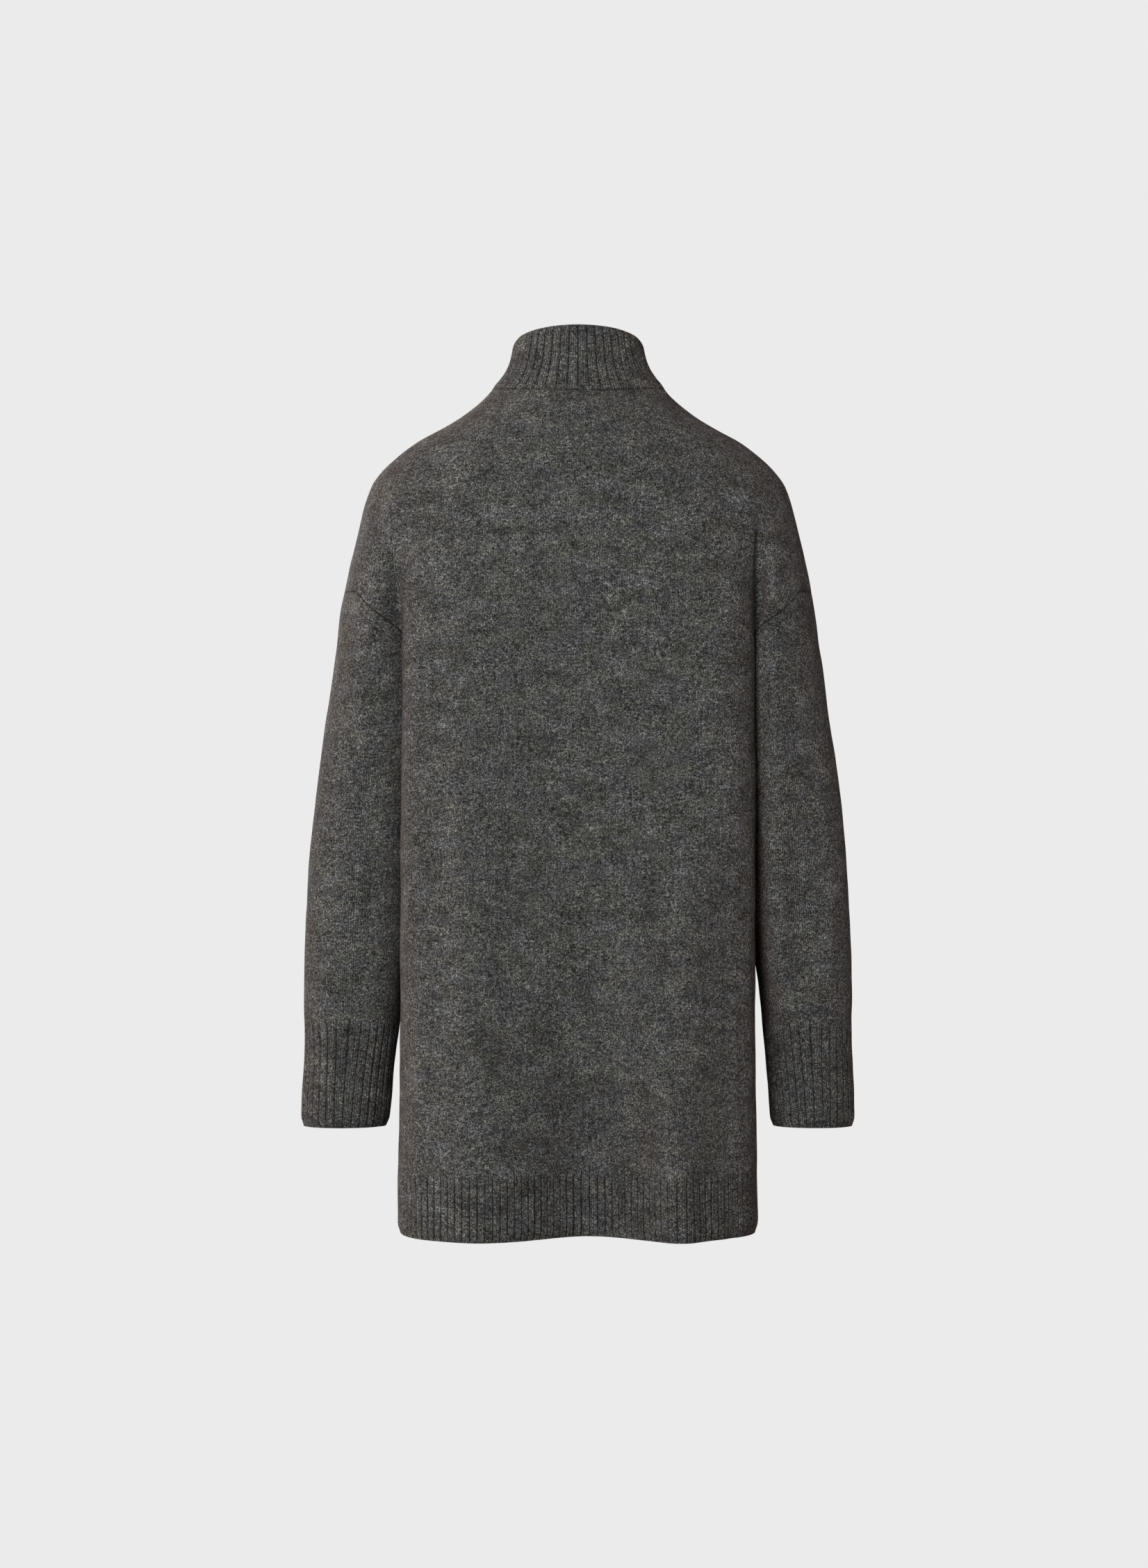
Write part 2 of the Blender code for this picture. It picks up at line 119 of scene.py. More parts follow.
# Rows of the grids: spans between knots, and the rows in each
BODY_SPANS, ARMHOLE_SPANS, SLEEVE_SPANS = 13, 12, 16
COLLAR_SPANS, CUFF_SPANS, HEM_SPANS = 8, 7, 5
ROWS_PER_SPAN, RIB_ROWS_PER_SPAN = 8, 4
COLLAR_CROWDING = 1.2

# Where close rows or columns lie at the end of a grid, as shares of the step there
NEAR_STEPS = np.array((0.12, 0.3, 0.6))

# Share of the armhole over which its hidden rows rise to their full level
HIDDEN_RISE = 1 / 12


class Table:
    """Rows of sizes with named columns, read at any place between the rows as a smooth curve."""

    def __init__(self, columns, *rows):
        names = columns.split()
        ordered = np.array(sorted(rows), float)
        self.where = ordered[:, 0]
        self.columns = {name: ordered[:, i] for i, name in enumerate(names)}

    def at(self, column, where):
        """Cubic curve through the rows that never swings past them."""
        x, y = self.where, self.columns[column]
        step = np.diff(x)
        slope = np.diff(y) / step
        tangent = np.concatenate([slope[:1], np.zeros(len(x) - 2), slope[-1:]])
        rising = slope[:-1] * slope[1:] > 0
        mean = 2 * slope[:-1] * slope[1:] / np.where(rising, slope[:-1] + slope[1:], 1)
        tangent[1:-1] = np.where(rising, mean, 0)
        where = np.clip(where, x[0], x[-1])
        i = np.clip(np.searchsorted(x, where) - 1, 0, len(step) - 1)
        t = (where - x[i]) / step[i]
        return (
            y[i] * (1 + 2 * t) * (1 - t) ** 2
            + y[i + 1] * t**2 * (3 - 2 * t)
            + step[i] * t * (1 - t) * (tangent[i] * (1 - t) - tangent[i + 1] * t)
        )


# The outline from the back: the neck, the shoulder slope and the sleeve's outer side
OUTLINE = Table(
    "height half_width",
    (6, 81), (-1, 86.3), (-12, 96), (-20, 105.5), (-27, 114.5), (-41, 136.6), (-54.5, 161),
    (-68, 179.5), (-82, 194.6), (-96, 204.6), (-110, 210), (-123.5, 214), (-151, 220.5),
    (-179, 227), (-202, 231.5), (-220, 235), (-262, 240), (-317, 247.7), (-372, 256),
    (-427, 262.5), (-482, 267.4), (-537, 270.8), (-593, 272), (-648, 272.6), (-703, 275.7),
    (-732.5, 276.4),
)

# The body's level sections
BODY = Table(
    "height half_width back front squareness",
    (6, 81, 62, 54, 2.1), (-8, 92, 68, 60, 2.1), (-27, 114.5, 80, 70, 2.1),
    (-60, 170, 92, 84, 2.2), (-96, 206, 100, 95, 2.3), (-127, 203, 103, 101, 2.7),
    (-165, 187, 106, 105, 3.6), (-202, 178, 107, 107, 4.8), (-240, 174, 107, 107, 6.0),
    (-330, 174, 105, 105, 6.0), (-450, 174, 104, 104, 6.0), (-560, 174.5, 108, 106, 5.4),
    (-700, 176, 120, 114, 4.4), (-830, 178, 132, 122, 3.7),
)

# The arm of the dress. A squareness of 2 is an ellipse
ARM = Table(
    "height inner_left inner_right half_depth middle squareness",
    (-1, 84, 84, 4, 0, 2), (-27, 86, 86, 20, 0, 2), (-60, 90, 90, 46, 0, 2),
    (-96, 110, 110, 60, 0, 2), (-127, 125, 125, 70, 0, 2), (-165, 140, 140, 72, 0, 2),
    (-202, 150, 150, 74, 0, 2), (-240, 153, 153, 74, 0, 2), (-275, 153, 153, 73, 0, 2.08),
    (-305, 153.5, 153.5, 71, 0, 2.2), (-340, 155, 156, 67, -1, 2.35),
    (-430, 161, 163, 61, -4, 2.6), (-520, 168, 171, 56, -9, 2.7),
    (-565, 171.5, 176, 54, -11, 2.7), (-620, 177, 183, 51, -14, 2.5),
    (-675, 184, 188, 42, -17, 2.2), (-732.5, 189.5, 192, 38, -20, 2),
)

# The armhole seam on the arm: 0 degrees is its outer side and 180 its inner side
CREASE_ANGLE = 120.0
ARMHOLE = Table(
    "angle height",
    (0, ARMHOLE_TOP), (50, -203), (64, -211), (93, -227), (CREASE_ANGLE, CREASE_FOOT),
    (135, -257), (150, -275), (165, -291), (180, UNDERARM),
)

# The collar from its seam, 0, to its rim, 1
COLLAR = Table(
    "rise half_width back front",
    (0, 86.3, 68, 75), (0.12, 82, 64, 66), (0.2, 78.5, 61.5, 62), (0.37, 72.5, 59.5, 59.5),
    (0.55, 68.6, 58.3, 59), (0.75, 66.2, 57.5, 60), (0.95, 64.6, 57.8, 61), (1, 63.6, 57.6, 60.6),
)

# Soft vertical folds of the body, as in the solids, by face. Each row is the fold's place across,
# the heights of its top and its foot, its spread and its depth, which is above 0 for a ridge
FOLDS = {
    "back": (
        (98, -280, -520, 34, 6), (-12, -480, -830, 54, -48), (-96, -500, -700, 24, 6),
        (-132, -480, -720, 14, -6), (20, -60, -330, 60, -4),
    ),
    "front": (
        (0, -50, -270, 95, 13), (78, -230, -700, 30, 9), (8, -300, -780, 38, -17),
        (-84, -250, -720, 28, 11), (134, -430, -760, 14, -6),
    ),
}

# Finer creases and soft swells by cloth and face. Each row is x and z of the top of its line on the
# cloth, x and z of its foot, its spread and its depth, which is above 0 for a ridge
CREASES = {
    ("body", "back"): (
        # The crease between the back and the arm: sharp on the right, soft on the left
        (-177, -118, -175, -262, 4.2, -7.0), (-190, -120, -188, -275, 9, 5.0),
        (178, -122, 175, -262, 8.0, -2.4),
        # Soft drag from the neck and shoulders
        (175, -118, 150, -275, 9, -3.0), (136, -110, 140, -660, 18, -3.6),
        (-150, -160, -140, -320, 12, 2.0), (60, -60, 110, -230, 26, -2.0),
        (-64, -70, -118, -250, 26, -2.2),
        # Long soft folds, some of which run on over the hem rib
        (152, -560, 156, -800, 8, 3.0), (62, -420, 70, -760, 15, -3.2),
        (-40, -520, -34, -812, 15, 4.0), (-70, -560, -72, -800, 9, -2.4),
        (-46, -420, -118, -1000, 18, 10.0), (-134, -480, -134, -1000, 13, 3.0),
        (-142, -400, -166, -1000, 27, -13.0), (-165, -330, -168, -800, 7, -3.0),
        (8, -250, 14, -540, 24, -1.8),
    ),
    ("body", "front"): (
        (-176, -140, -175, -262, 4.5, -4.5), (176, -128, 175, -262, 4.0, -5.5),
        (150, -150, 118, -290, 12, -2.4), (-152, -140, -122, -300, 13, -2.6),
        (50, -60, 96, -210, 24, -2.2), (-46, -60, -90, -220, 24, -2.2),
        (40, -330, 34, -720, 16, -3.2), (112, -400, 118, -800, 11, -3.8),
        (-40, -320, -32, -650, 17, 2.8), (-122, -380, -130, -790, 9, -4.0),
        (158, -540, 160, -800, 8, 2.6),
    ),
    ("sleeve", "back"): (
        (-190, -225, -196, -640, 13, 10.0), (214, -230, 205, -430, 9, 2.4),
        (236, -330, 246, -610, 8, -1.8), (196, -430, 214, -640, 7, -2.4),
        (-200, -390, -205, -610, 8, 2.6), (-228, -300, -243, -600, 9, -2.6),
        (-186, -330, -190, -470, 6, -2.2), (-212, -560, -252, -622, 8, -1.8),
        (214, -575, 250, -618, 7, -1.6),
    ),
    ("sleeve", "front"): (
        (190, -300, 216, -560, 10, -2.6), (236, -380, 250, -600, 8, 2.0),
        (-190, -320, -216, -570, 10, -2.6), (-232, -360, -250, -600, 8, 2.0),
    ),
}

# Shares of a crease's line over which it grows and dies away, and where it starts to show and how
# soon it shows in full beyond the dress's middle plane
CREASE_GROWS, CREASE_DIES = 0.3, 0.25
FACING_FROM, FACING_OVER = 4, 22

# Gauge of the knit: the width of a wale and the height of a course. The wales fan out by a share
# above a height near the neck, and the sleeve's are counted round one ring of its grid
WALE = 2.8
COURSE = 2.05
NECK_FAN = 0.22
NECK_FAN_HEIGHT = 150
SLEEVE_WALES = 124
COUNTED_RING = -40

# By kind of edge: how deep the cloth turns in there, how dark the painted shade in the seam's
# hollow is, how far a rib draws in, and the distance over which ribs fade out. At the sides of the
# dress only a share of a depth is left
SEAM_DEPTH = {"sewn": 1.0, "linked": 0.9, "side": 0.3, "free": 0.5}
SEAM_PAINTED_SHADE = {"sewn": 1.0, "linked": 0.65, "side": 0.3}
FREE_DRAW = {"free": 2.4}
RIB_FADE = {"linked": 9.0, "knit_on": 9.0, "side": 5.0, "free": 1.6}
SIDE_SHARE = 0.1

# How far from the edge each of the first three reaches, and the gap between sewn pieces
SEAM_TURN = 1.4
SEAM_SHADE = 1.3
FREE_DRAW_HEIGHT = 5.0
SEAM_GAP = 0.12

# Finer creases fade out over this distance from a sewn edge or a side seam
CREASE_FADE = 14.0

# Uneven surface of soft cloth, with a share of finer swells
SWELL_LENGTH = 62.0
SWELL_HEIGHT = 1.1
SWELL_FINER = 2.7
SWELL_FINER_SHARE = 0.4

# Places across one rib, from the middle of a groove to the next. A groove is this share of the
# rib wide, and the rib dips between its two wales
RIB_PLACES = (0, 0.07, 0.14, 0.22, 0.34, 0.5, 0.66, 0.78, 0.86, 0.93)
GROOVE = 0.17
RIB_DIP, RIB_DIP_SPREAD = 0.16, 0.09

# The least of a groove's width and of a rib's rise, how much more the widest has, and the two
# numbers of the fixed scatter that sets them apart from rib to rib
UNEVEN_WIDTH = (0.8, 0.5)
UNEVEN_RISE = (0.86, 0.28)
SCATTER = (12.9898, 43758.5453)

# How dark the painted shade in the grooves between ribs is
COLLAR_GROOVE_SHADE, CUFF_GROOVE_SHADE, HEM_GROOVE_SHADE = 0.68, 0.6, 0.75

# Kinds of the plain pieces' edges. Only the panels have a start and an end, at their side seams
PLAIN_EDGES = {
    "body": {"foot": "knit_on", "start": "side", "end": "side", "top": "linked"},
    "sleeve": {"foot": "knit_on", "top": "sewn"},
}

# The photo's width in pixels, a pixel's size in the plane of the side seams, and the camera's
# place in metres
PHOTO_WIDTH = 1652
PIXEL = 0.69
CAMERA_ACROSS, CAMERA_HEIGHT = 0.004, -0.3916
SENSOR_WIDTH = 36.0

# The floor and the point that the lights aim at, in metres
FLOOR_HEIGHT, FLOOR_RADIUS, FLOOR_SIDES = -1.15, 40.0, 96
AIM = Vector((0, 0, -0.38))

# Lights: name, place and size in metres, power in shares of the key's, sRGB hex colour
LIGHTS = (
    ("key", (1.27, 3.6, 0.7), 1.6, 1.0, "#ffffff"),
    ("side", (3.9, -0.2, 0.2), 1.4, 0.68, "#fff4ee"),
    ("rim", (-3.9, -0.4, -0.7), 1.4, 0.09, "#ff9a80"),
    ("front", (1.4, -3.6, 0.7), 1.6, 1.0, "#ffffff"),
)


def smooth_least(a, b, rounding):
    """The smaller of a and b, with the corner between them rounded."""
    share = np.clip(1 - np.abs(a - b) / rounding, 0, 1)
    return np.minimum(a, b) - rounding * share**2 / 4


def ease(share):
    share = np.clip(share, 0, 1)
    return share * share * (3 - 2 * share)


def unit(vectors):
    return vectors / np.maximum(np.linalg.norm(vectors, axis=-1, keepdims=True), 1e-9)


def fold_depth(across, height, face):
    """How far the folds of a face stand out, over a point of it."""
    total = 0.0
    for middle, top, foot, spread, depth in FOLDS[face]:
        near = np.exp(-(((across - middle) / spread) ** 2))
        total = total + depth * ease((top - height) / (top - foot)) * near
    return total


def arm_section(height, side):
    """The middle, half width and half depth of a sleeve's level section."""
    outer = OUTLINE.at("half_width", height)
    inner = ARM.at("inner_" + side, height)
    return (outer + inner) / 2, (outer - inner) / 2, ARM.at("half_depth", height)


def squared(wave, height):
    """A cosine or sine, turned from a circle's into the arm's squarer section."""
    return np.sign(wave) * np.abs(wave) ** (2 / ARM.at("squareness", height))


def squarish(share, squareness):
    """Share of its depth that a section between an ellipse and a box has, off its middle."""
    return np.clip(1 - np.abs(share) ** squareness, 0, None) ** (1 / squareness)


def arm_reach(share, height):
    """Share of the arm's depth at a share of its half width, or the other way round."""
    return squarish(share, ARM.at("squareness", height))


def arm_point(angle, height, side):
    """Points on the sleeve's surface, at angles in degrees from its outer side."""
    middle, half_width, half_depth = arm_section(height, side)
    turn = np.radians(angle)
    x = SIDES[side] * (middle + half_width * squared(np.cos(turn), height))
    y = ARM.at("middle", height) + half_depth * squared(np.sin(turn), height)
    return np.stack(np.broadcast_arrays(x, y, height), axis=-1)


def shoulder_curve(height, face, side):
    """Sections from the middle of a face over the arm to the outline, one for each height."""
    reach = OUTLINE.at("half_width", height)
    half_width = np.minimum(BODY.at("half_width", height), reach)
    middle, arm_width, arm_depth = arm_section(height, side)
    x = reach * np.sin(np.linspace(0, math.pi / 2, FINE_POINTS))
    over_body = squarish(x / half_width, BODY.at("squareness", height))
    over_arm = arm_reach((x - middle) / arm_width, height)
    opened = ease((height - CREASE_FOOT) / CREASE_OPENING)
    rounding = CREASE_ROUNDING + (SHOULDER_ROUNDING - CREASE_ROUNDING) * opened
    rounding = rounding * ease((reach - x) / OUTLINE_FADE) + TINY
    y = -smooth_least(-over_body * BODY.at(face, height), -over_arm * arm_depth, rounding)
    return folded(x, y, height, face, side)


def body_curve(height, face, side):
    """Sections from the middle of a face to the side seam, pressed in where the sleeve lies."""
    squareness = BODY.at("squareness", height)
    turn = np.linspace(0, math.pi / 2, FINE_POINTS)
    x = BODY.at("half_width", height) * np.sin(turn) ** (2 / squareness)
    y = BODY.at(face, height) * np.cos(turn) ** (2 / squareness)
    middle, arm_width, arm_depth = arm_section(height, side)
    parted = ease((CREASE_FOOT - height) / PARTING_DROP)
    clearance = LEAST_CLEARANCE + (SLEEVE_CLEARANCE - LEAST_CLEARANCE) * parted
    off_middle = FACES[face] * y - ARM.at("middle", height)
    nearness = arm_reach(off_middle / (arm_depth + clearance), height)
    x = smooth_least(x, middle - (arm_width + clearance) * nearness, BODY_ROUNDING)
    return folded(np.maximum(x, 0), y, height, face, side)


def folded(x, y, height, face, side):
    """The sections with the face's folds, which fade out towards the sides."""
    fading = ease(np.abs(y) / FOLD_FADE)
    return x, y + fading * fold_depth(SIDES[side] * x, height, face)


def lengths(x, y):
    """Lengths along curves from their first points."""
    steps = np.hypot(np.diff(x), np.diff(y))
    return np.concatenate([np.zeros(x.shape[:-1] + (1,)), np.cumsum(steps, axis=-1)], axis=-1)


class Sections:
    """Half of a face as level sections at close heights, looked up by length and height."""

    def __init__(self, face, side, curve, low, high):
        self.face, self.side = face, side
        count = int(math.ceil((high - low) / HEIGHT_STEP)) + 1
        self.heights = np.linspace(low, high, count)
        x, y = curve(self.heights[:, None], face, side)
        run = lengths(x, y)
        self.whole = run[:, -1]
        shares = np.linspace(0, 1, CURVE_POINTS)
        self.x = np.stack([np.interp(shares, r / r[-1], row) for r, row in zip(run, x)])
        self.y = np.stack([np.interp(shares, r / r[-1], row) for r, row in zip(run, y)])

    def points(self, length, height):
        row = np.interp(height, self.heights, np.arange(len(self.heights)))
        i = np.clip(row.astype(int), 0, len(self.heights) - 2)
        down = row - i
        whole = np.interp(height, self.heights, self.whole)
        column = np.clip(length / whole, 0, 1) * (CURVE_POINTS - 1)
        j = np.clip(column.astype(int), 0, CURVE_POINTS - 2)
        along = column - j
        place = []
        for grid in (self.x, self.y):
            low = grid[i, j] * (1 - along) + grid[i, j + 1] * along
            high = grid[i + 1, j] * (1 - along) + grid[i + 1, j + 1] * along
            place.append(low * (1 - down) + high * down)
        return np.stack([SIDES[self.side] * place[0], FACES[self.face] * place[1], height], axis=-1)


SECTIONS = {}


def sections_of(face, side):
    """The sections of half a face below and above the foot of the crease."""
    if (face, side) not in SECTIONS:
        SECTIONS[face, side] = (
            Sections(face, side, body_curve, HEM_BOTTOM, CREASE_FOOT - TINY),
            Sections(face, side, shoulder_curve, CREASE_FOOT, NECK_SIDE),
        )
    return SECTIONS[face, side]


def panel_points(length, height, face, side):
    """Points of a face at lengths from its middle, measured along the sections at their heights."""
    length, height = np.broadcast_arrays(np.asarray(length, float), np.asarray(height, float))
    below, above = sections_of(face, side)
    low, high = below.points(length, height), above.points(length, height)
    return np.where((height < CREASE_FOOT)[..., None], low, high)


def whole_length(height, face, side):
    below, above = sections_of(face, side)
    low = np.interp(height, below.heights, below.whole)
    high = np.interp(height, above.heights, above.whole)
    return np.where(np.asarray(height) < CREASE_FOOT, low, high)


def level_section(height, face, side):
    """Places across and in depth along the section at one height, and the lengths to them."""
    curve = shoulder_curve if height >= CREASE_FOOT else body_curve
    x, y = (row[0] for row in curve(np.array([[height]]), face, side))
    return x, y, lengths(x, y)


def neck_place(share, face, side):
    """(length, height) of the neck seam, from the middle of a face, 0, to the shoulder, 1."""
    turn = share * math.pi / 2
    height = NECK_SIDE - NECK_DIP[face] * math.cos(turn) ** 2
    x, _, run = level_section(height, face, side)
    return np.interp(OUTLINE.at("half_width", NECK_SIDE) * math.sin(turn), x, run), height


def crease_length(height, face, side):
    """Length from the middle of a face to the crease between the body and the arm."""
    reach = np.minimum(OUTLINE.at("half_width", height), BODY.at("half_width", height))
    x = reach * np.linspace(CREASE_FROM, 1, CURVE_POINTS)
    middle, arm_width, arm_depth = arm_section(height, side)
    body = squarish(x / x[-1], BODY.at("squareness", height)) * BODY.at(face, height)
    arm = arm_reach(np.minimum((x - middle) / arm_width, 0), height) * arm_depth
    crossing = x[np.argmax(arm > body)]
    along, _, run = level_section(height, face, side)
    return np.interp(crossing, along, run)


def shoulder_places(shares, face, side):
    """(length, height) along the shoulder seam, from the neck, 0, to the armhole, 1."""
    fine = np.linspace(NECK_SIDE, ARMHOLE_TOP, CURVE_POINTS)
    run = lengths(OUTLINE.at("half_width", fine), fine)
    height = np.interp(shares * run[-1], run, fine)
    return np.stack([whole_length(height, face, side), height], axis=-1)


def armhole_place(angle, face, side):
    """(length, height) of the armhole seam at an angle round the arm."""
    height = float(ARMHOLE.at("height", angle))
    place = arm_point(angle * FACES[face], height, side)
    x, y, run = level_section(height, face, side)
    if height >= CREASE_FOOT:
        return np.interp(abs(place[0]), x, run), height
    return np.interp(-abs(place[1]), -y, run), height


def spaced(knots, per_span, near=()):
    """Places at even steps between knots, with close ones at the ends named in near."""
    places = []
    for first, last in zip(knots, knots[1:]):
        places += list(np.linspace(first, last, per_span, endpoint=False))
    places.append(knots[-1])
    places = np.array(places)
    first_step, last_step = places[1] - places[0], places[-1] - places[-2]
    if "first" in near:
        places = np.insert(places, 1, places[0] + first_step * NEAR_STEPS)
    if "last" in near:
        close = places[-1] - last_step * NEAR_STEPS[::-1]
        places = np.insert(places, len(places) - 1, close)
    return places


def panel_shares():
    """Shares across half a panel, closest over the crease between the body and the arm."""
    coarse = np.linspace(0, COARSE_TO, COARSE_STEPS, endpoint=False)
    closing = np.linspace(1, 0, CREASE_STEPS, endpoint=False) ** CREASE_CROWDING
    opening = np.linspace(0, 1, BEYOND_STEPS, endpoint=False) ** BEYOND_CROWDING
    before = CREASE_SHARE - (CREASE_SHARE - COARSE_TO) * closing
    beyond = CREASE_SHARE + (CREASE_TO - CREASE_SHARE) * opening
    last = spaced(np.array([CREASE_TO, 1]), SEAM_STEPS, near=("last",))
    return np.concatenate([coarse, before, beyond, last])


def armhole_steps():
    """Steps up the armhole from the underarm, 0, to the shoulder, 1."""
    return spaced(np.linspace(0, 1, ARMHOLE_SPANS + 1), ROWS_PER_SPAN, near=("last",))


def upper_places(face, side, shares, steps):
    """Places of the grid above the underarm, blended between its four edges."""
    whole = whole_length(UNDERARM, face, side)
    neck = [neck_place(share / NECK_SHARE, face, side) for share in shares if share <= NECK_SHARE]
    rest = (shares[shares > NECK_SHARE] - NECK_SHARE) / (1 - NECK_SHARE)
    top = np.concatenate([neck, shoulder_places(rest, face, side)])
    angles = 180 * (1 - steps)
    seam = np.array([armhole_place(angle, face, side) for angle in angles])
    seam[0] = (whole, UNDERARM)
    seam[-1] = top[-1]
    hidden = ARMHOLE.at("height", angles) + LEVEL_RISE * np.clip(steps / HIDDEN_RISE, 0, 1)
    turn = 1 - CREASE_ANGLE / 180
    above = CREASE_FOOT + LEVEL_RISE
    open_part = above + (top[0][1] - above) * (steps - turn) / (1 - turn)
    heights = np.where(steps <= turn, hidden, open_part)
    middle = np.stack([0 * heights, heights], axis=1)
    u = shares[None, :, None]
    v = np.clip((heights - UNDERARM) / (top[0][1] - UNDERARM), 0, 1) ** TOP_REACH
    v = v[:, None, None]
    bent = top - top[:1] - shares[:, None] * (top[-1] - top[0])
    places = (1 - u) * middle[:, None] + u * seam[:, None] + v * bent
    fine = np.linspace(CREASE_FOOT, CREASE_FOOT + CREASE_OPENING, CREASE_SAMPLES)
    crease = np.array([crease_length(height, face, side) for height in fine])
    aligned = []
    for row, step in zip(places, steps):
        past = row[:, 0] - np.interp(row[:, 1], fine, crease)
        met = np.interp(0.0, past, shares) if step > turn else CREASE_LAST
        pull = ease(step / turn) if step <= turn else ease((1 - step) / CREASE_LETS_GO)
        met = CREASE_SHARE + pull * (min(met, CREASE_LAST) - CREASE_SHARE)
        moved = np.interp(shares, (0, CREASE_SHARE, 1), (0, met, 1))
        aligned.append([np.interp(moved, shares, row[:, i]) for i in (0, 1)])
    return np.moveaxis(np.array(aligned), 1, 2)


def knit_across(length, height, face, side):
    """Wales from the middle of a face. They fan out over the shoulders and beside the armholes."""
    under = whole_length(UNDERARM, face, side)
    widest = whole_length(ARMHOLE_TOP, face, side)
    over = ease((height - UNDERARM) / (ARMHOLE_TOP - UNDERARM))
    stretched = 1 + over * (widest / under - 1)
    neckwards = 1 + NECK_FAN * ease((height + NECK_FAN_HEIGHT) / NECK_FAN_HEIGHT)
    return length / stretched * neckwards / WALE


def half_panel(face, side):
    """Outer points and stitch counts of half a panel, from the hem rib up and the middle out."""
    shares, steps = panel_shares(), armhole_steps()
    knots = np.linspace(HEM_TOP, UNDERARM, BODY_SPANS + 1)
    low = spaced(knots, ROWS_PER_SPAN, near=("first",))[:-1, None]
    low_lengths = whole_length(low, face, side) * shares
    high = upper_places(face, side, shares, steps)
    length = np.concatenate([low_lengths, high[..., 0]])
    height = np.concatenate([low + 0 * low_lengths, high[..., 1]])
    points = panel_points(length, height, face, side)
    angles = 180 * (1 - steps)
    points[len(low) :, -1] = arm_point(angles * FACES[face], ARMHOLE.at("height", angles), side)
    across = knit_across(length, height, face, side) * SIDES[side]
    return points, np.stack([across, (height - HEM_TOP) / COURSE], axis=-1)


def sides_of(face):
    """The sides of a face from left to right, seen from outside."""
    return ("right", "left") if face == "front" else ("left", "right")


def panel(face):
    """Outer points and stitch counts of a whole panel, columns from left to right as seen."""
    first, second = (half_panel(face, side) for side in sides_of(face))
    return [np.concatenate([first[i][:, :0:-1], second[i]], axis=1) for i in (0, 1)]


def sleeve(side):
    """Outer points and stitch counts of a sleeve, from its cuff up to the armhole seam."""
    back = 180 * (1 - armhole_steps())
    angles = np.concatenate([back, -back[-2::-1]])
    if side == "left":
        angles = angles[::-1]
    start = ARMHOLE.at("height", np.abs(angles))
    knots = np.linspace(0, 1, SLEEVE_SPANS + 1)
    shares = spaced(knots, ROWS_PER_SPAN, near=("first", "last"))[:, None]
    height = start + (CUFF_TOP - start) * shares
    points = arm_point(angles + 0 * height, height, side)[::-1]
    run = lengths(points[COUNTED_RING, :, 0], points[COUNTED_RING, :, 1])
    across = SLEEVE_WALES * run / run[-1]
    up = (height[::-1] - CUFF_TOP) / COURSE
    return points, np.stack(np.broadcast_arrays(across, up), axis=-1)


def rib_columns(ribs):
    """Share of the way round of each column, and its rise from groove, 0, to rib, 1."""
    count = np.arange(ribs)[:, None]
    place = np.array(RIB_PLACES)[None, :]
    uneven = np.sin(count * SCATTER[0]) * SCATTER[1]
    uneven = uneven - np.floor(uneven)
    wide = GROOVE * (UNEVEN_WIDTH[0] + UNEVEN_WIDTH[1] * uneven)
    open_left = ease(place / wide)
    open_right = ease((1 - place) / wide)
    dip = RIB_DIP * np.exp(-(((place - 0.5) / RIB_DIP_SPREAD) ** 2))
    rise = np.minimum(open_left, open_right) * (1 - dip)
    rise = rise * (UNEVEN_RISE[0] + UNEVEN_RISE[1] * uneven)
    shares = ((count + place) / ribs).ravel()
    return np.append(shares, 1.0), np.append(rise.ravel(), rise[0, 0])


def hem_points(share, height, face):
    """Points of a hem rib: share runs from one side seam, 0, to the other, 1."""
    halves = []
    for side in sides_of(face):
        length = np.abs(2 * share - 1) * whole_length(height, face, side)
        halves.append(panel_points(length, height, face, side))
    return np.where((share < 0.5)[..., None], *halves)


def cuff_points(share, height, side):
    """Points of a cuff: share runs once round it from its inner side."""
    turn = share if side == "left" else -share
    return arm_point(360 * turn, height, side)


def collar_points(share, rise):
    """Points of the collar: share runs round from the middle of the back over the right side."""
    around = share[0]
    turn = 2 * math.pi * around
    back = np.cos(turn) >= 0
    from_middle = np.arcsin(np.clip(np.abs(np.sin(turn)), 0, 1)) / (math.pi / 2)
    seam = []
    for angle, near, is_back in zip(turn, from_middle, back):
        face = "back" if is_back else "front"
        side = "right" if math.sin(angle) >= 0 else "left"
        length, height = neck_place(near, face, side)
        seam.append(panel_points(length, height, face, side))
    seam = np.array(seam)

    def level(rise):
        depth = np.where(back, COLLAR.at("back", rise), COLLAR.at("front", rise))
        return -COLLAR.at("half_width", rise) * np.sin(turn), depth * np.cos(turn)

    (x, y), (foot_x, foot_y) = level(rise), level(0.0)
    settle = (1 - rise) ** 3
    x = x + (seam[:, 0] - foot_x) * settle
    y = y + (seam[:, 1] - foot_y) * settle
    rim = RIM_MIDDLE + RIM_SLOPE * y
    return np.stack([x, y, seam[:, 2] + (rim - seam[:, 2]) * rise], axis=-1)


def outward(points, closed):
    """Unit normals of a grid of points, whose columns run anticlockwise seen from above."""
    if closed:
        ring = np.concatenate([points[:, -2:-1], points, points[:, 1:2]], axis=1)
        along = ring[:, 2:] - ring[:, :-2]
    else:
        along = np.gradient(points, axis=1)
    return unit(np.cross(along, np.gradient(points, axis=0)))


def share_normals(patches):
    """Gives points that two pieces share the same normal, so that their edges meet square."""
    shared = {}
    for patch in patches:
        for edge in patch_edges(patch):
            for place, normal in zip(patch["points"][edge], patch["normals"][edge]):
                shared.setdefault(tuple(np.round(place, 1)), []).append(normal)
    for normals in shared.values():
        mean = unit(sum(normals))
        for normal in normals:
            normal[:] = mean


def patch_edges(patch):
    rows = [np.s_[0], np.s_[-1]]
    return rows + [np.s_[:, 0], np.s_[:, -1]] if "start" in patch["edges"] else rows


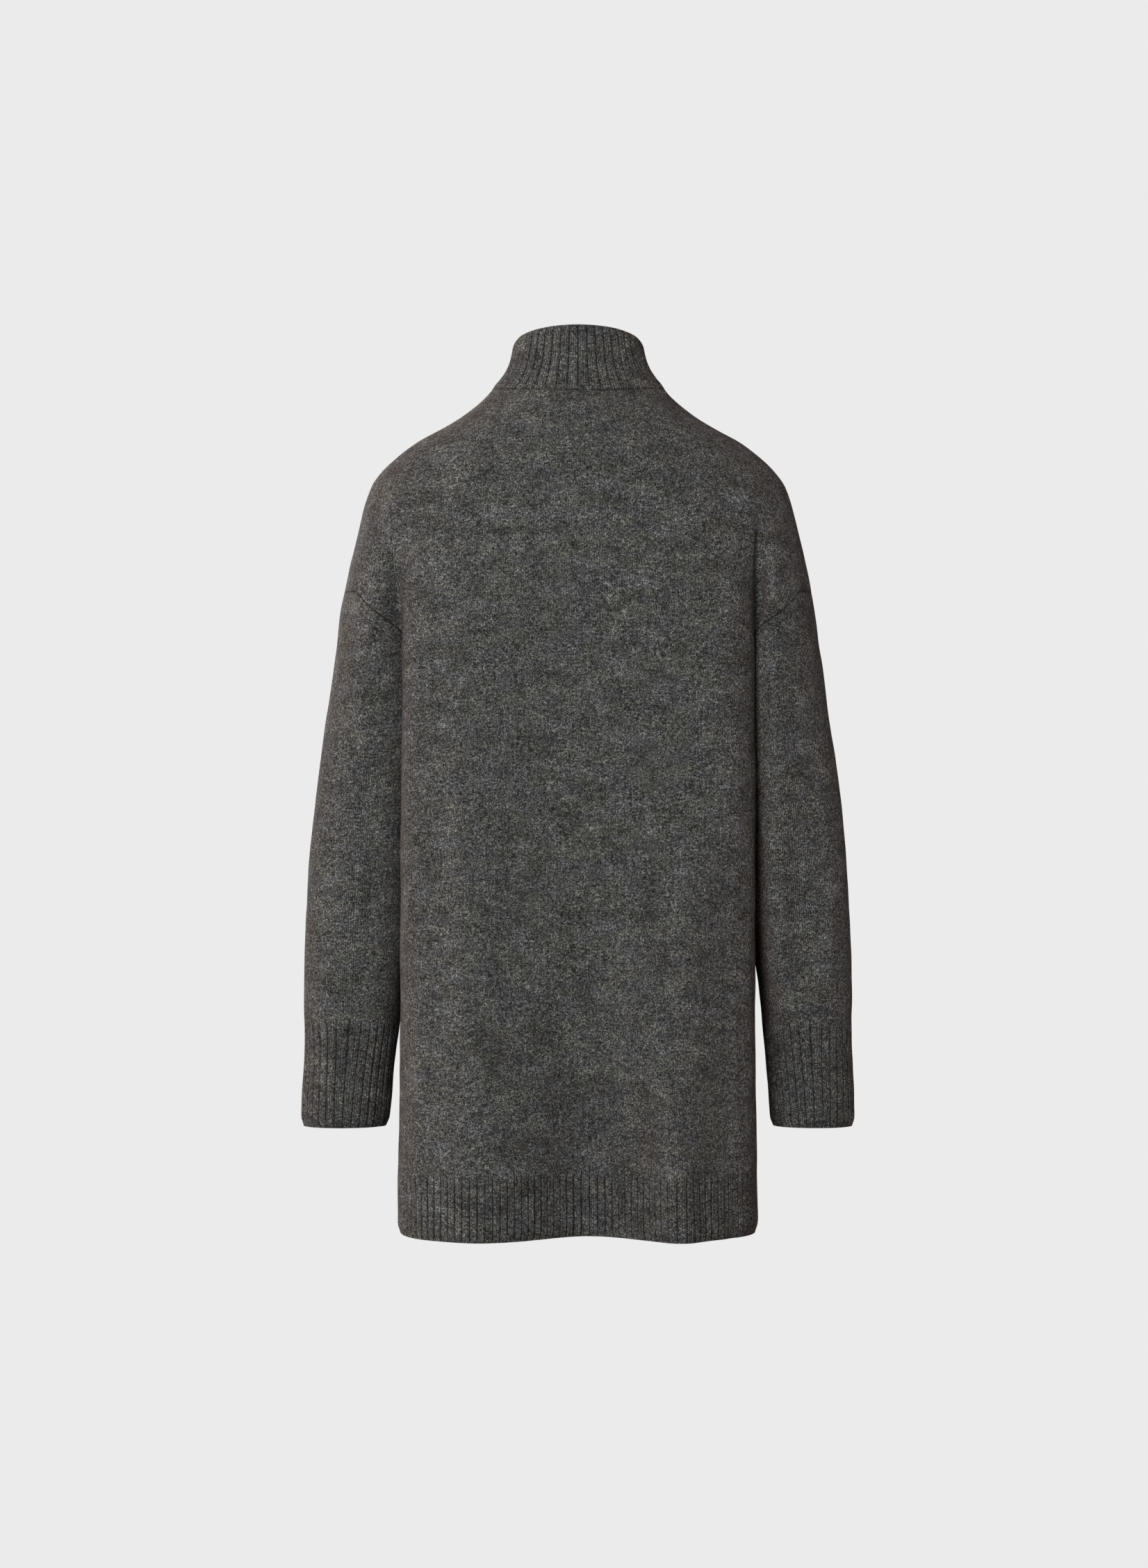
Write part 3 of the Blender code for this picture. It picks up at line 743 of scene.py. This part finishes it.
def facing_share(normals):
    """Share of a seam's or crease's depth: all of it on the back and front, little at the sides."""
    return SIDE_SHARE + (1 - SIDE_SHARE) * np.abs(normals[..., 1])


def crease_depth(points, normals, cloth):
    """How far the finer creases of the body or of the sleeves move these points out."""
    x, y, z = np.moveaxis(points, -1, 0)
    total = np.zeros(x.shape)
    for face, out in FACES.items():
        facing = ease((out * y - FACING_FROM) / FACING_OVER)
        for top_x, top_z, foot_x, foot_z, spread, depth in CREASES.get((cloth, face), ()):
            run = np.array([foot_x - top_x, foot_z - top_z])
            share = ((x - top_x) * run[0] + (z - top_z) * run[1]) / (run @ run)
            off = ((x - top_x) * run[1] - (z - top_z) * run[0]) / math.hypot(*run)
            along = ease(share / CREASE_GROWS) * ease((1 - share) / CREASE_DIES)
            total += depth * along * facing * np.exp(-((off / spread) ** 2))
    return total * facing_share(normals)


def swell(points):
    """Low uneven swells over soft cloth."""
    rise = []
    for place in points.reshape(-1, 3) / SWELL_LENGTH:
        finer = noise.noise(Vector(place) * SWELL_FINER)
        rise.append(noise.noise(Vector(place)) + SWELL_FINER_SHARE * finer)
    return SWELL_HEIGHT * np.array(rise).reshape(points.shape[:-1])


def edge_distance(points):
    """Distance of each point from the first and last row and the first and last column."""
    away = {}
    for axis, names in enumerate((("foot", "top"), ("start", "end"))):
        steps = np.linalg.norm(np.diff(points, axis=axis), axis=-1)
        for name, way in zip(names, (1, -1)):
            run = np.cumsum(np.moveaxis(steps, axis, 0)[::way], axis=0)
            run = np.concatenate([0 * run[:1], run])[::way]
            away[name] = np.moveaxis(run, 0, axis)
    return away


def at_edges(away, edges, amounts, reach):
    """What the edges add up to at each point, by kind of edge and fading out over a reach."""
    total = 0.0
    for edge, kind in edges.items():
        total = total + amounts.get(kind, 0.0) * np.exp(-((away[edge] / reach) ** 2))
    return total


def drawn_back(points, closed):
    """The grid with each edge moved half a seam gap into the piece."""
    moved = points.copy()
    edges = [(moved[0], points[1]), (moved[-1], points[-2])]
    if not closed:
        edges += [(moved[:, 0], points[:, 1]), (moved[:, -1], points[:, -2])]
    for edge, inside in edges:
        edge += unit(inside - edge) * SEAM_GAP / 2
    return moved


def grid_faces(mesh, points, stitches, hollow, closed, turned):
    """Adds a grid of faces with its stitches as UV places, and returns its border edges."""
    courses, wales = points.shape[0] - 1, points.shape[1] - 1
    made = bmesh.ops.create_grid(mesh, x_segments=wales, y_segments=courses, size=1)["verts"]
    # Layer of painted shade for grooves and seams, kept per point
    depth = mesh.verts.layers.float["hollow"]
    counts = {}
    rows = zip(made, points.reshape(-1, 3) * MM, stitches.reshape(-1, 2), hollow.ravel())
    for vert, place, count, sunk in rows:
        vert.co = place
        vert[depth] = sunk
        counts[vert] = count
    layer = mesh.loops.layers.uv.verify()
    faces = list({face for vert in made for face in vert.link_faces})
    for face in faces:
        face.smooth = True
        for loop in face.loops:
            loop[layer].uv = counts[loop.vert]
        for edge in face.edges:
            edge.smooth = not edge.is_boundary
    if turned:
        bmesh.ops.reverse_faces(mesh, faces=faces)
    if closed:
        bmesh.ops.remove_doubles(mesh, verts=made, dist=1e-7)
    return [edge for face in faces if face.is_valid for edge in face.edges if edge.is_boundary]


def foot_and_top(edges):
    """The border edges of a tube, those at its foot and those at its top."""
    middle = np.mean([edge.verts[0].co.z for edge in edges])
    ends = {True: [], False: []}
    for edge in edges:
        ends[edge.verts[0].co.z < middle].append(edge)
    return ends[True], ends[False]


def cloth_shell(name, outer, inner, stitches, hollow, closed, finish):
    """A closed thin shell of cloth between its outer and its inner grid of points."""
    mesh = bmesh.new()
    # The hollow attribute carries painted shade for grooves and seams
    mesh.verts.layers.float.new("hollow")
    outside = grid_faces(mesh, outer, stitches, hollow, closed, turned=False)
    inside = grid_faces(mesh, inner, stitches, 0 * hollow, closed, turned=True)
    if closed:
        for pair in zip(foot_and_top(outside), foot_and_top(inside)):
            bmesh.ops.bridge_loops(mesh, edges=pair[0] + pair[1])
    else:
        bmesh.ops.bridge_loops(mesh, edges=outside + inside)
    piece = mesh_object(name, mesh, finish)
    piece.data.uv_layers[0].name = "stitches"
    return piece


def mesh_object(name, mesh, finish):
    """Turns a mesh that is being edited into an object with its material."""
    data = bpy.data.meshes.new(name)
    mesh.to_mesh(data)
    mesh.free()
    data.materials.append(finish)
    return add_object(name, data)


def add_object(name, data):
    """Puts a mesh, lamp or camera in the scene."""
    made = bpy.data.objects.new(name, data)
    bpy.context.scene.collection.objects.link(made)
    return made


# Materials


def linear(hex_colour):
    """An sRGB hex colour as linear red, green, blue and alpha."""
    parts = [int(hex_colour[i : i + 2], 16) / 255 for i in (1, 3, 5)]
    return (*[c / 12.92 if c <= 0.04045 else ((c + 0.055) / 1.055) ** 2.4 for c in parts], 1.0)


def add_node(tree, kind, inputs, output=0, stops=(), **settings):
    """Adds a node and returns one of its outputs.

    Inputs, by name or number, take values or other nodes' outputs. Stops are the places and hex
    colours of a colour ramp.
    """
    node = tree.nodes.new("ShaderNode" + kind)
    for key, value in settings.items():
        setattr(node, key, value)
    for socket, value in inputs.items():
        if isinstance(value, bpy.types.NodeSocket):
            tree.links.new(value, node.inputs[socket])
        else:
            node.inputs[socket].default_value = value
    if stops:
        node.color_ramp.interpolation = "EASE"
        for _ in stops[2:]:
            node.color_ramp.elements.new(0.5)
        for element, (place, colour) in zip(node.color_ramp.elements, stops):
            element.position = place
            element.color = linear(colour)
    return node.outputs[output] if node.outputs else None


def heather_wool(name, colours, stitch_depth):
    """Wool knit in stocking stitch or two-wale rib, spun from dyed and undyed fibre.

    The eye gets soft V-shaped stitches in upright wales with dark hollows between them, which are
    painted shade as well as relief, light and dark flecks of fibre finer than a stitch, slow drifts
    of tone from one stretch of yarn to the next, and a dull surface with a faint warm halo of fibre
    ends where it turns away. Grooves and seams get painted shade from the hollow attribute.
    """
    finish = bpy.data.materials.new(name)
    finish.use_nodes = True
    finish.node_tree.nodes.clear()
    add = partial(add_node, finish.node_tree)

    # Stitches, one unit of the UV map each and up to a quarter of one out of place, over some 7 mm
    stitch = add("UVMap", {}, uv_map="stitches")
    body = add("TexCoord", {}, "Object")
    wander = add("TexNoise", {"Vector": body, "Scale": 150.0, "Detail": 1.0}, "Color")
    shift = add(
        "VectorMath", {0: wander, 1: (0.42, 0.5, 0.0), 2: (-0.21, -0.25, 0.0)},
        operation="MULTIPLY_ADD",
    )
    place = add("VectorMath", {0: stitch, 1: shift}, operation="ADD")
    across = add("SeparateXYZ", {0: place}, "X")
    # Grain of the fibre, drawn as coarse as 0.7 mm so that it shows
    grain = add("TexNoise", {"Vector": body, "Scale": 1500.0, "Detail": 1.0, "Roughness": 0.5})

    # How far off the wale's middle a place is, the round of the wale's two legs, the loops that
    # climb them, the height of the yarn over its hollows, and the relief with the fibre's
    worked = {"across": across, "up": across.node.outputs["Y"], "grain": grain}
    for result, source, *steps in (
        ("off", "across", ("FRACT", 0.0), ("SUBTRACT", 0.5), ("ABSOLUTE", 0.0)),
        ("leg", "off", ("MULTIPLY", 2 * math.pi), ("SINE", 0.0), ("MAXIMUM", 0.0), ("POWER", 0.6)),
        ("climb", "off", ("MULTIPLY", -1.5), ("ADD", "up")),
        ("loop", "climb", ("FRACT", 0.0), ("MULTIPLY", math.pi), ("SINE", 0.0), ("MAXIMUM", 0.0),
         ("POWER", 0.5), ("MULTIPLY", 0.6), ("ADD", 0.4)),
        ("height", "leg", ("MULTIPLY", "loop")),
        ("fibre", "grain", ("MULTIPLY", 0.5)),
        ("raised", "height", ("MULTIPLY", 0.8), ("ADD", "fibre")),
    ):
        made = worked[source]
        for operation, other in steps:
            other = worked.get(other, other)
            made = add("Math", {0: made, 1: other}, operation=operation)
        worked[result] = made

    # Tones laid over each other. A scale is how many marks fit in a metre, or in a stitch for the
    # last. Single fibres are too fine to show, so the flecks are drawn coarser, at 1.4 mm
    longer = add("Mapping", {0: body, "Scale": (1.0, 1.0, 1.7)})
    columns = add("Mapping", {0: stitch, "Scale": (0.8, 0.07, 1.0)})
    layers = (
        # Place, scale, detail, roughness, spread of the stops, share and the three colours of:
        # flecks of dyed and undyed fibre
        (body, 740.0, 2.0, 0.6, 0.16, 1.0, colours.dark_hex, colours.middle_hex, colours.light_hex),
        # faint change of hue, over 24 mm
        (longer, 42.0, 2.0, 0.5, 0.12, 1.0, "#bbbcbe", "#bcbcbb", "#bebeb7"),
        # drift of the yarn's tone, over 26 mm
        (longer, 38.0, 3.0, 0.6, 0.16, 0.9, "#a2a2a2", "#bcbcbc", "#d4d4d4"),
        # patches of 4 mm
        (longer, 260.0, 2.0, 0.6, 0.16, 1.0, "#919191", "#bcbcbc", "#e0e0e0"),
        # streaks along the wales
        (columns, 1.0, 1.0, 0.5, 0.16, 0.3, "#a4a4a4", "#bcbcbc", "#d2d2d2"),
    )
    tone = None
    for vector, scale, detail, rough, spread, share, *hexes in layers:
        pattern = {"Vector": vector, "Scale": scale, "Detail": detail, "Roughness": rough}
        stops = tuple(zip((0.5 - spread, 0.5, 0.5 + spread), hexes))
        layer = add("ValToRGB", {0: add("TexNoise", pattern)}, stops=stops)
        if tone is not None:
            mixed = {0: share, 6: tone, 7: layer}
            layer = add("Mix", mixed, 2, data_type="RGBA", blend_type="OVERLAY")
        tone = layer

    # Painted shade between the stitches, darker where the yarn lies low, and in the grooves and
    # seams, from the hollow attribute
    stops = ((0.08, "#5c5c5c"), (0.62, "#ffffff"))
    between = add("ValToRGB", {0: worked["height"]}, stops=stops)
    sunk = add("Attribute", {}, "Fac", attribute_name="hollow")
    for share, layer in ((0.9, between), (sunk, linear(colours.painted_shade_hex))):
        mixed = {0: share, 6: tone, 7: layer}
        tone = add("Mix", mixed, 2, data_type="RGBA", blend_type="MULTIPLY")

    relief = {"Height": worked["raised"], "Strength": 0.75, "Distance": stitch_depth}
    shader = add("BsdfPrincipled", {
        "Base Color": tone, "Normal": add("Bump", relief), "Roughness": 0.93,
        "Specular IOR Level": 0.18, "Sheen Weight": 0.15, "Sheen Roughness": 0.45,
        "Sheen Tint": linear(colours.sheen_hex),
    })
    add("OutputMaterial", {0: shader})
    return finish


def hex_setting(name, use, default):
    return bpy.props.StringProperty(
        name=name, description="sRGB hex colour of " + use, default=default
    )


def number_setting(name, use, default, **limits):
    return bpy.props.FloatProperty(name=name, description=use, default=default, **limits)


def length_setting(name, use, default, least, most):
    """A length whose default and limits are given in millimetres."""
    limits = {"min": least * MM, "max": most * MM, "unit": "LENGTH"}
    return number_setting(name, use, default * MM, **limits)


class KnitColours(bpy.types.PropertyGroup):
    """Colours of the heather yarn."""

    dark_hex: hex_setting("Dark fibre", "the dyed fibre", "#292929")
    middle_hex: hex_setting("Middle tone", "the blended yarn", "#565656")
    light_hex: hex_setting("Light fibre", "the undyed fibre", "#8d8d8a")
    # Colour of the painted shade that darkens the wool in rib grooves and along seams
    painted_shade_hex: hex_setting("Hollows", "the shade in grooves and seams", "#6e6a68")
    sheen_hex: hex_setting("Fibre ends", "the halo of fibre ends", "#a8644e")


class KnitSizes(bpy.types.PropertyGroup):
    """Sizes of the cloth."""

    cloth: length_setting("Cloth", "Thickness of the plain knit", 2.6, 1, 3)
    rib_cloth: length_setting("Rib cloth", "Thickness of the rib knit at its ribs", 2.2, 1, 3)
    rib_rise: length_setting("Rib rise", "Height of a rib over its grooves", 1.5, 0, 3)
    stitch_depth: length_setting("Stitch depth", "Depth of the hollows in the knit", 0.9, 0, 2)


class StageLooks(bpy.types.PropertyGroup):
    """The plain stage."""

    backdrop_hex: hex_setting("Backdrop", "the floor and backdrop", "#ebebeb")
    key_power: number_setting(
        "Key light", "Power of the soft light from the left", 96.5, min=0.0, unit="POWER"
    )
    ambient: number_setting(
        "Ambient", "Share of the backdrop's light on the dress", 0.265, min=0.0, max=1.0
    )
    camera_distance: number_setting(
        "Camera distance", "To the plane of the side seams", 3.3, min=1.0, unit="LENGTH"
    )


def seen_strength(tree, ambient):
    """Full strength where the stage is seen, and a lower one for the light that it gives."""
    seen = add_node(tree, "LightPath", {}, "Is Camera Ray")
    part = {0: seen, 1: 1 - ambient, 2: ambient}
    return add_node(tree, "Math", part, operation="MULTIPLY_ADD")


def finish_for(kind):
    """The wool of the plain pieces or of the ribbed ones, made once."""
    scene = bpy.context.scene
    name = "heather_wool_" + kind
    made = bpy.data.materials.get(name)
    return made or heather_wool(name, scene.knit_colours, scene.knit_sizes.stitch_depth)


def declare(piece, node):
    """Rides the piece on the dress's one body, in place of its solid, which it hides."""
    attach(piece, "root")
    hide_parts(node)


def make_cloth(name, cloth, points, normals, stitches, edges, rises=None, groove_shade=0.0):
    """Makes a piece with its creases, its swells and its turned-in seams.

    Rises, from groove, 0, to rib, 1, make it ribbed. Its ribs fade out towards its edges, and it
    draws in at a free one. Its grooves get painted shade up to a given share, and its seams get
    painted shade too.
    """
    closed = "start" not in edges
    sizes = bpy.context.scene.knit_sizes
    away = edge_distance(points)
    moved = crease_depth(points, normals, cloth)
    seams = [away[edge] for edge, kind in edges.items() if kind in ("sewn", "side")]
    if seams:
        moved *= ease(np.min(seams, axis=0) / CREASE_FADE)
    moved += swell(points) - at_edges(away, edges, FREE_DRAW, FREE_DRAW_HEIGHT)
    sunk, kind, thickness = np.zeros(moved.shape), "plain", sizes.cloth
    if rises is not None:
        sunk, kind, thickness = sunk + 1 - rises, "rib", sizes.rib_cloth
        for edge, ending in edges.items():
            sunk *= ease(away[edge] / RIB_FADE[ending])
    turned = at_edges(away, edges, SEAM_DEPTH, SEAM_TURN) * facing_share(normals)
    grid = drawn_back(points, closed)
    outer = grid + normals * (moved - sunk * sizes.rib_rise / MM - turned)[..., None]
    inner = grid + normals * (moved - thickness / MM)[..., None]
    # Painted shade in the rib grooves and along the seams, kept in the hollow attribute
    hollow = np.clip(groove_shade * sunk + at_edges(away, edges, SEAM_PAINTED_SHADE, SEAM_SHADE), 0, 1)
    finish = finish_for(kind)
    return cloth_shell("knit_" + name, outer, inner, stitches, hollow, closed, finish)


def plain_patches():
    """The back, the front and the sleeves, whose shared edges are worked out together."""
    grids = {face: ("body", *panel(face)) for face in FACES}
    grids |= {"sleeve_" + side: ("sleeve", *sleeve(side)) for side in SIDES}
    patches = {}
    for name, (cloth, points, stitches) in grids.items():
        edges = PLAIN_EDGES[cloth]
        patches[name] = {
            "cloth": cloth, "points": points, "stitches": stitches, "edges": edges,
            "normals": outward(points, "start" not in edges),
        }
    share_normals(patches.values())
    return patches


PATCHES = {}


def make_plain(name):
    """Makes one plain piece from its patch."""
    if not PATCHES:
        PATCHES.update(plain_patches())
    return make_cloth(name, **PATCHES[name])


def make_ribbed(name, cloth, points_at, ribs, knots, edges, groove_shade):
    """Makes a ribbed edge, whose points are given by share of the way round and by height."""
    shares, rises = rib_columns(ribs)
    rows = spaced(knots, RIB_ROWS_PER_SPAN, near=("first", "last"))
    points = points_at(*np.meshgrid(shares, rows))
    up = (points[..., 2] - points[:1, :, 2]) / COURSE
    stitches = np.stack(np.broadcast_arrays(2 * ribs * shares, up), axis=-1)
    normals = outward(points, "start" not in edges)
    return make_cloth(name, cloth, points, normals, stitches, edges, rises, groove_shade)


class KNIT_OT_body(bpy.types.Operator):
    """Makes the back and the front of the dress."""

    bl_idname = "knit.body"
    bl_label = "Back and front"

    def execute(self, context):
        for face, other, area in (("back", "front", 0.395), ("front", "back", 0.39)):
            piece = make_plain(face)
            declare(piece, face)
        return {"FINISHED"}


class KNIT_OT_sleeves(bpy.types.Operator):
    """Makes the two sleeves."""

    bl_idname = "knit.sleeves"
    bl_label = "Sleeves"

    def execute(self, context):
        for side in SIDES:
            name = "sleeve_" + side
            piece = make_plain(name)
            declare(piece, name)
        return {"FINISHED"}


class KNIT_OT_collar(bpy.types.Operator):
    """Makes the ribbed funnel collar."""

    bl_idname = "knit.collar"
    bl_label = "Collar"

    def execute(self, context):
        knots = np.linspace(0, 1, COLLAR_SPANS + 1) ** COLLAR_CROWDING
        edges = {"foot": "linked", "top": "free"}
        piece = make_ribbed(
            "collar", "collar", collar_points, COLLAR_RIBS, knots, edges, COLLAR_GROOVE_SHADE
        )
        declare(piece, "collar")
        return {"FINISHED"}


class KNIT_OT_cuffs(bpy.types.Operator):
    """Makes the two ribbed cuffs."""

    bl_idname = "knit.cuffs"
    bl_label = "Cuffs"

    def execute(self, context):
        knots = np.linspace(CUFF_BOTTOM, CUFF_TOP, CUFF_SPANS + 1)
        edges = {"foot": "free", "top": "knit_on"}
        for side in SIDES:
            name, shape = "cuff_" + side, partial(cuff_points, side=side)
            piece = make_ribbed(name, "sleeve", shape, CUFF_RIBS, knots, edges, CUFF_GROOVE_SHADE)
            declare(piece, name)
        return {"FINISHED"}


class KNIT_OT_hem(bpy.types.Operator):
    """Makes the back and the front of the hem rib."""

    bl_idname = "knit.hem"
    bl_label = "Hem rib"

    def execute(self, context):
        knots = np.linspace(HEM_BOTTOM, HEM_TOP, HEM_SPANS + 1)
        edges = {"foot": "free", "top": "knit_on", "start": "side", "end": "side"}
        for face, width in (("back", 0.57), ("front", 0.54)):
            name, shape = "hem_rib_" + face, partial(hem_points, face=face)
            piece = make_ribbed(name, "body", shape, HEM_RIBS_PER_FACE, knots, edges, HEM_GROOVE_SHADE)
            declare(piece, name)
        return {"FINISHED"}


class KNIT_OT_stage(bpy.types.Operator):
    """Makes the plain floor, the backdrop colour, the soft lights and the camera."""

    bl_idname = "knit.stage"
    bl_label = "Stage"

    def execute(self, context):
        scene = context.scene
        looks = scene.stage_looks
        pale = linear(looks.backdrop_hex)

        world = bpy.data.worlds.new("studio")
        scene.world = world
        world.use_nodes = True
        surround = world.node_tree.nodes["Background"]
        surround.inputs[0].default_value = pale
        strength = seen_strength(world.node_tree, looks.ambient)
        world.node_tree.links.new(strength, surround.inputs[1])

        paint = bpy.data.materials.new("stage_paint")
        paint.use_nodes = True
        tree = paint.node_tree
        tree.nodes.clear()
        glow = add_node(tree, "Emission", {0: pale, 1: seen_strength(tree, looks.ambient)})
        add_node(tree, "OutputMaterial", {0: glow})
        mesh = bmesh.new()
        bmesh.ops.create_circle(
            mesh, cap_ends=True, cap_tris=False, segments=FLOOR_SIDES, radius=FLOOR_RADIUS
        )
        bmesh.ops.translate(mesh, verts=mesh.verts, vec=(0, 0, FLOOR_HEIGHT))
        mesh_object("floor", mesh, paint)

        for name, place, size, share, colour in LIGHTS:
            lamp = bpy.data.lights.new(name, "AREA")
            lamp.shape = "DISK"
            lamp.size = size
            lamp.energy = looks.key_power * share
            lamp.color = linear(colour)[:3]
            holder = add_object(name, lamp)
            holder.location = place
            holder.rotation_euler = (AIM - Vector(place)).to_track_quat("-Z", "Y").to_euler()

        camera = bpy.data.cameras.new("camera")
        camera.sensor_fit = "HORIZONTAL"
        camera.sensor_width = SENSOR_WIDTH
        camera.lens = SENSOR_WIDTH * looks.camera_distance / (PHOTO_WIDTH * PIXEL * MM)
        camera.clip_end = 100.0
        holder = add_object("camera", camera)
        holder.location = (CAMERA_ACROSS, looks.camera_distance, CAMERA_HEIGHT)
        holder.rotation_euler = (math.pi / 2, 0, math.pi)
        scene.camera = holder
        scene.view_settings.view_transform = "Standard"
        scene.view_settings.look = "None"
        return {"FINISHED"}


class KNIT_PT_panel(bpy.types.Panel):
    """Lists the pieces of the dress and the stage."""

    bl_label = "Knit Dress"
    bl_idname = "KNIT_PT_panel"
    bl_space_type = "VIEW_3D"
    bl_region_type = "UI"
    bl_category = "Knit Dress"

    def draw(self, context):
        layout = self.layout
        for settings in GROUPS:
            group, box = getattr(context.scene, settings), layout.box()
            for name in group.bl_rna.properties.keys():
                if name not in ("rna_type", "name"):
                    box.prop(group, name)
        for operator in OPERATORS:
            layout.operator(operator.bl_idname)


OPERATORS = (
    KNIT_OT_body, KNIT_OT_sleeves, KNIT_OT_collar, KNIT_OT_cuffs, KNIT_OT_hem, KNIT_OT_stage,
)
GROUPS = {"knit_colours": KnitColours, "knit_sizes": KnitSizes, "stage_looks": StageLooks}


def register():
    for item in (*GROUPS.values(), *OPERATORS, KNIT_PT_panel):
        bpy.utils.register_class(item)
    for name, group in GROUPS.items():
        setattr(bpy.types.Scene, name, bpy.props.PointerProperty(type=group))


def unregister():
    for name in GROUPS:
        delattr(bpy.types.Scene, name)
    for item in (KNIT_PT_panel, *OPERATORS[::-1], *list(GROUPS.values())[::-1]):
        bpy.utils.unregister_class(item)


def main():
    register()
    bpy.ops.knit.body()
    bpy.ops.knit.sleeves()
    bpy.ops.knit.collar()
    bpy.ops.knit.cuffs()
    bpy.ops.knit.hem()
    bpy.ops.knit.stage()


if __name__ == "__main__":
    main()
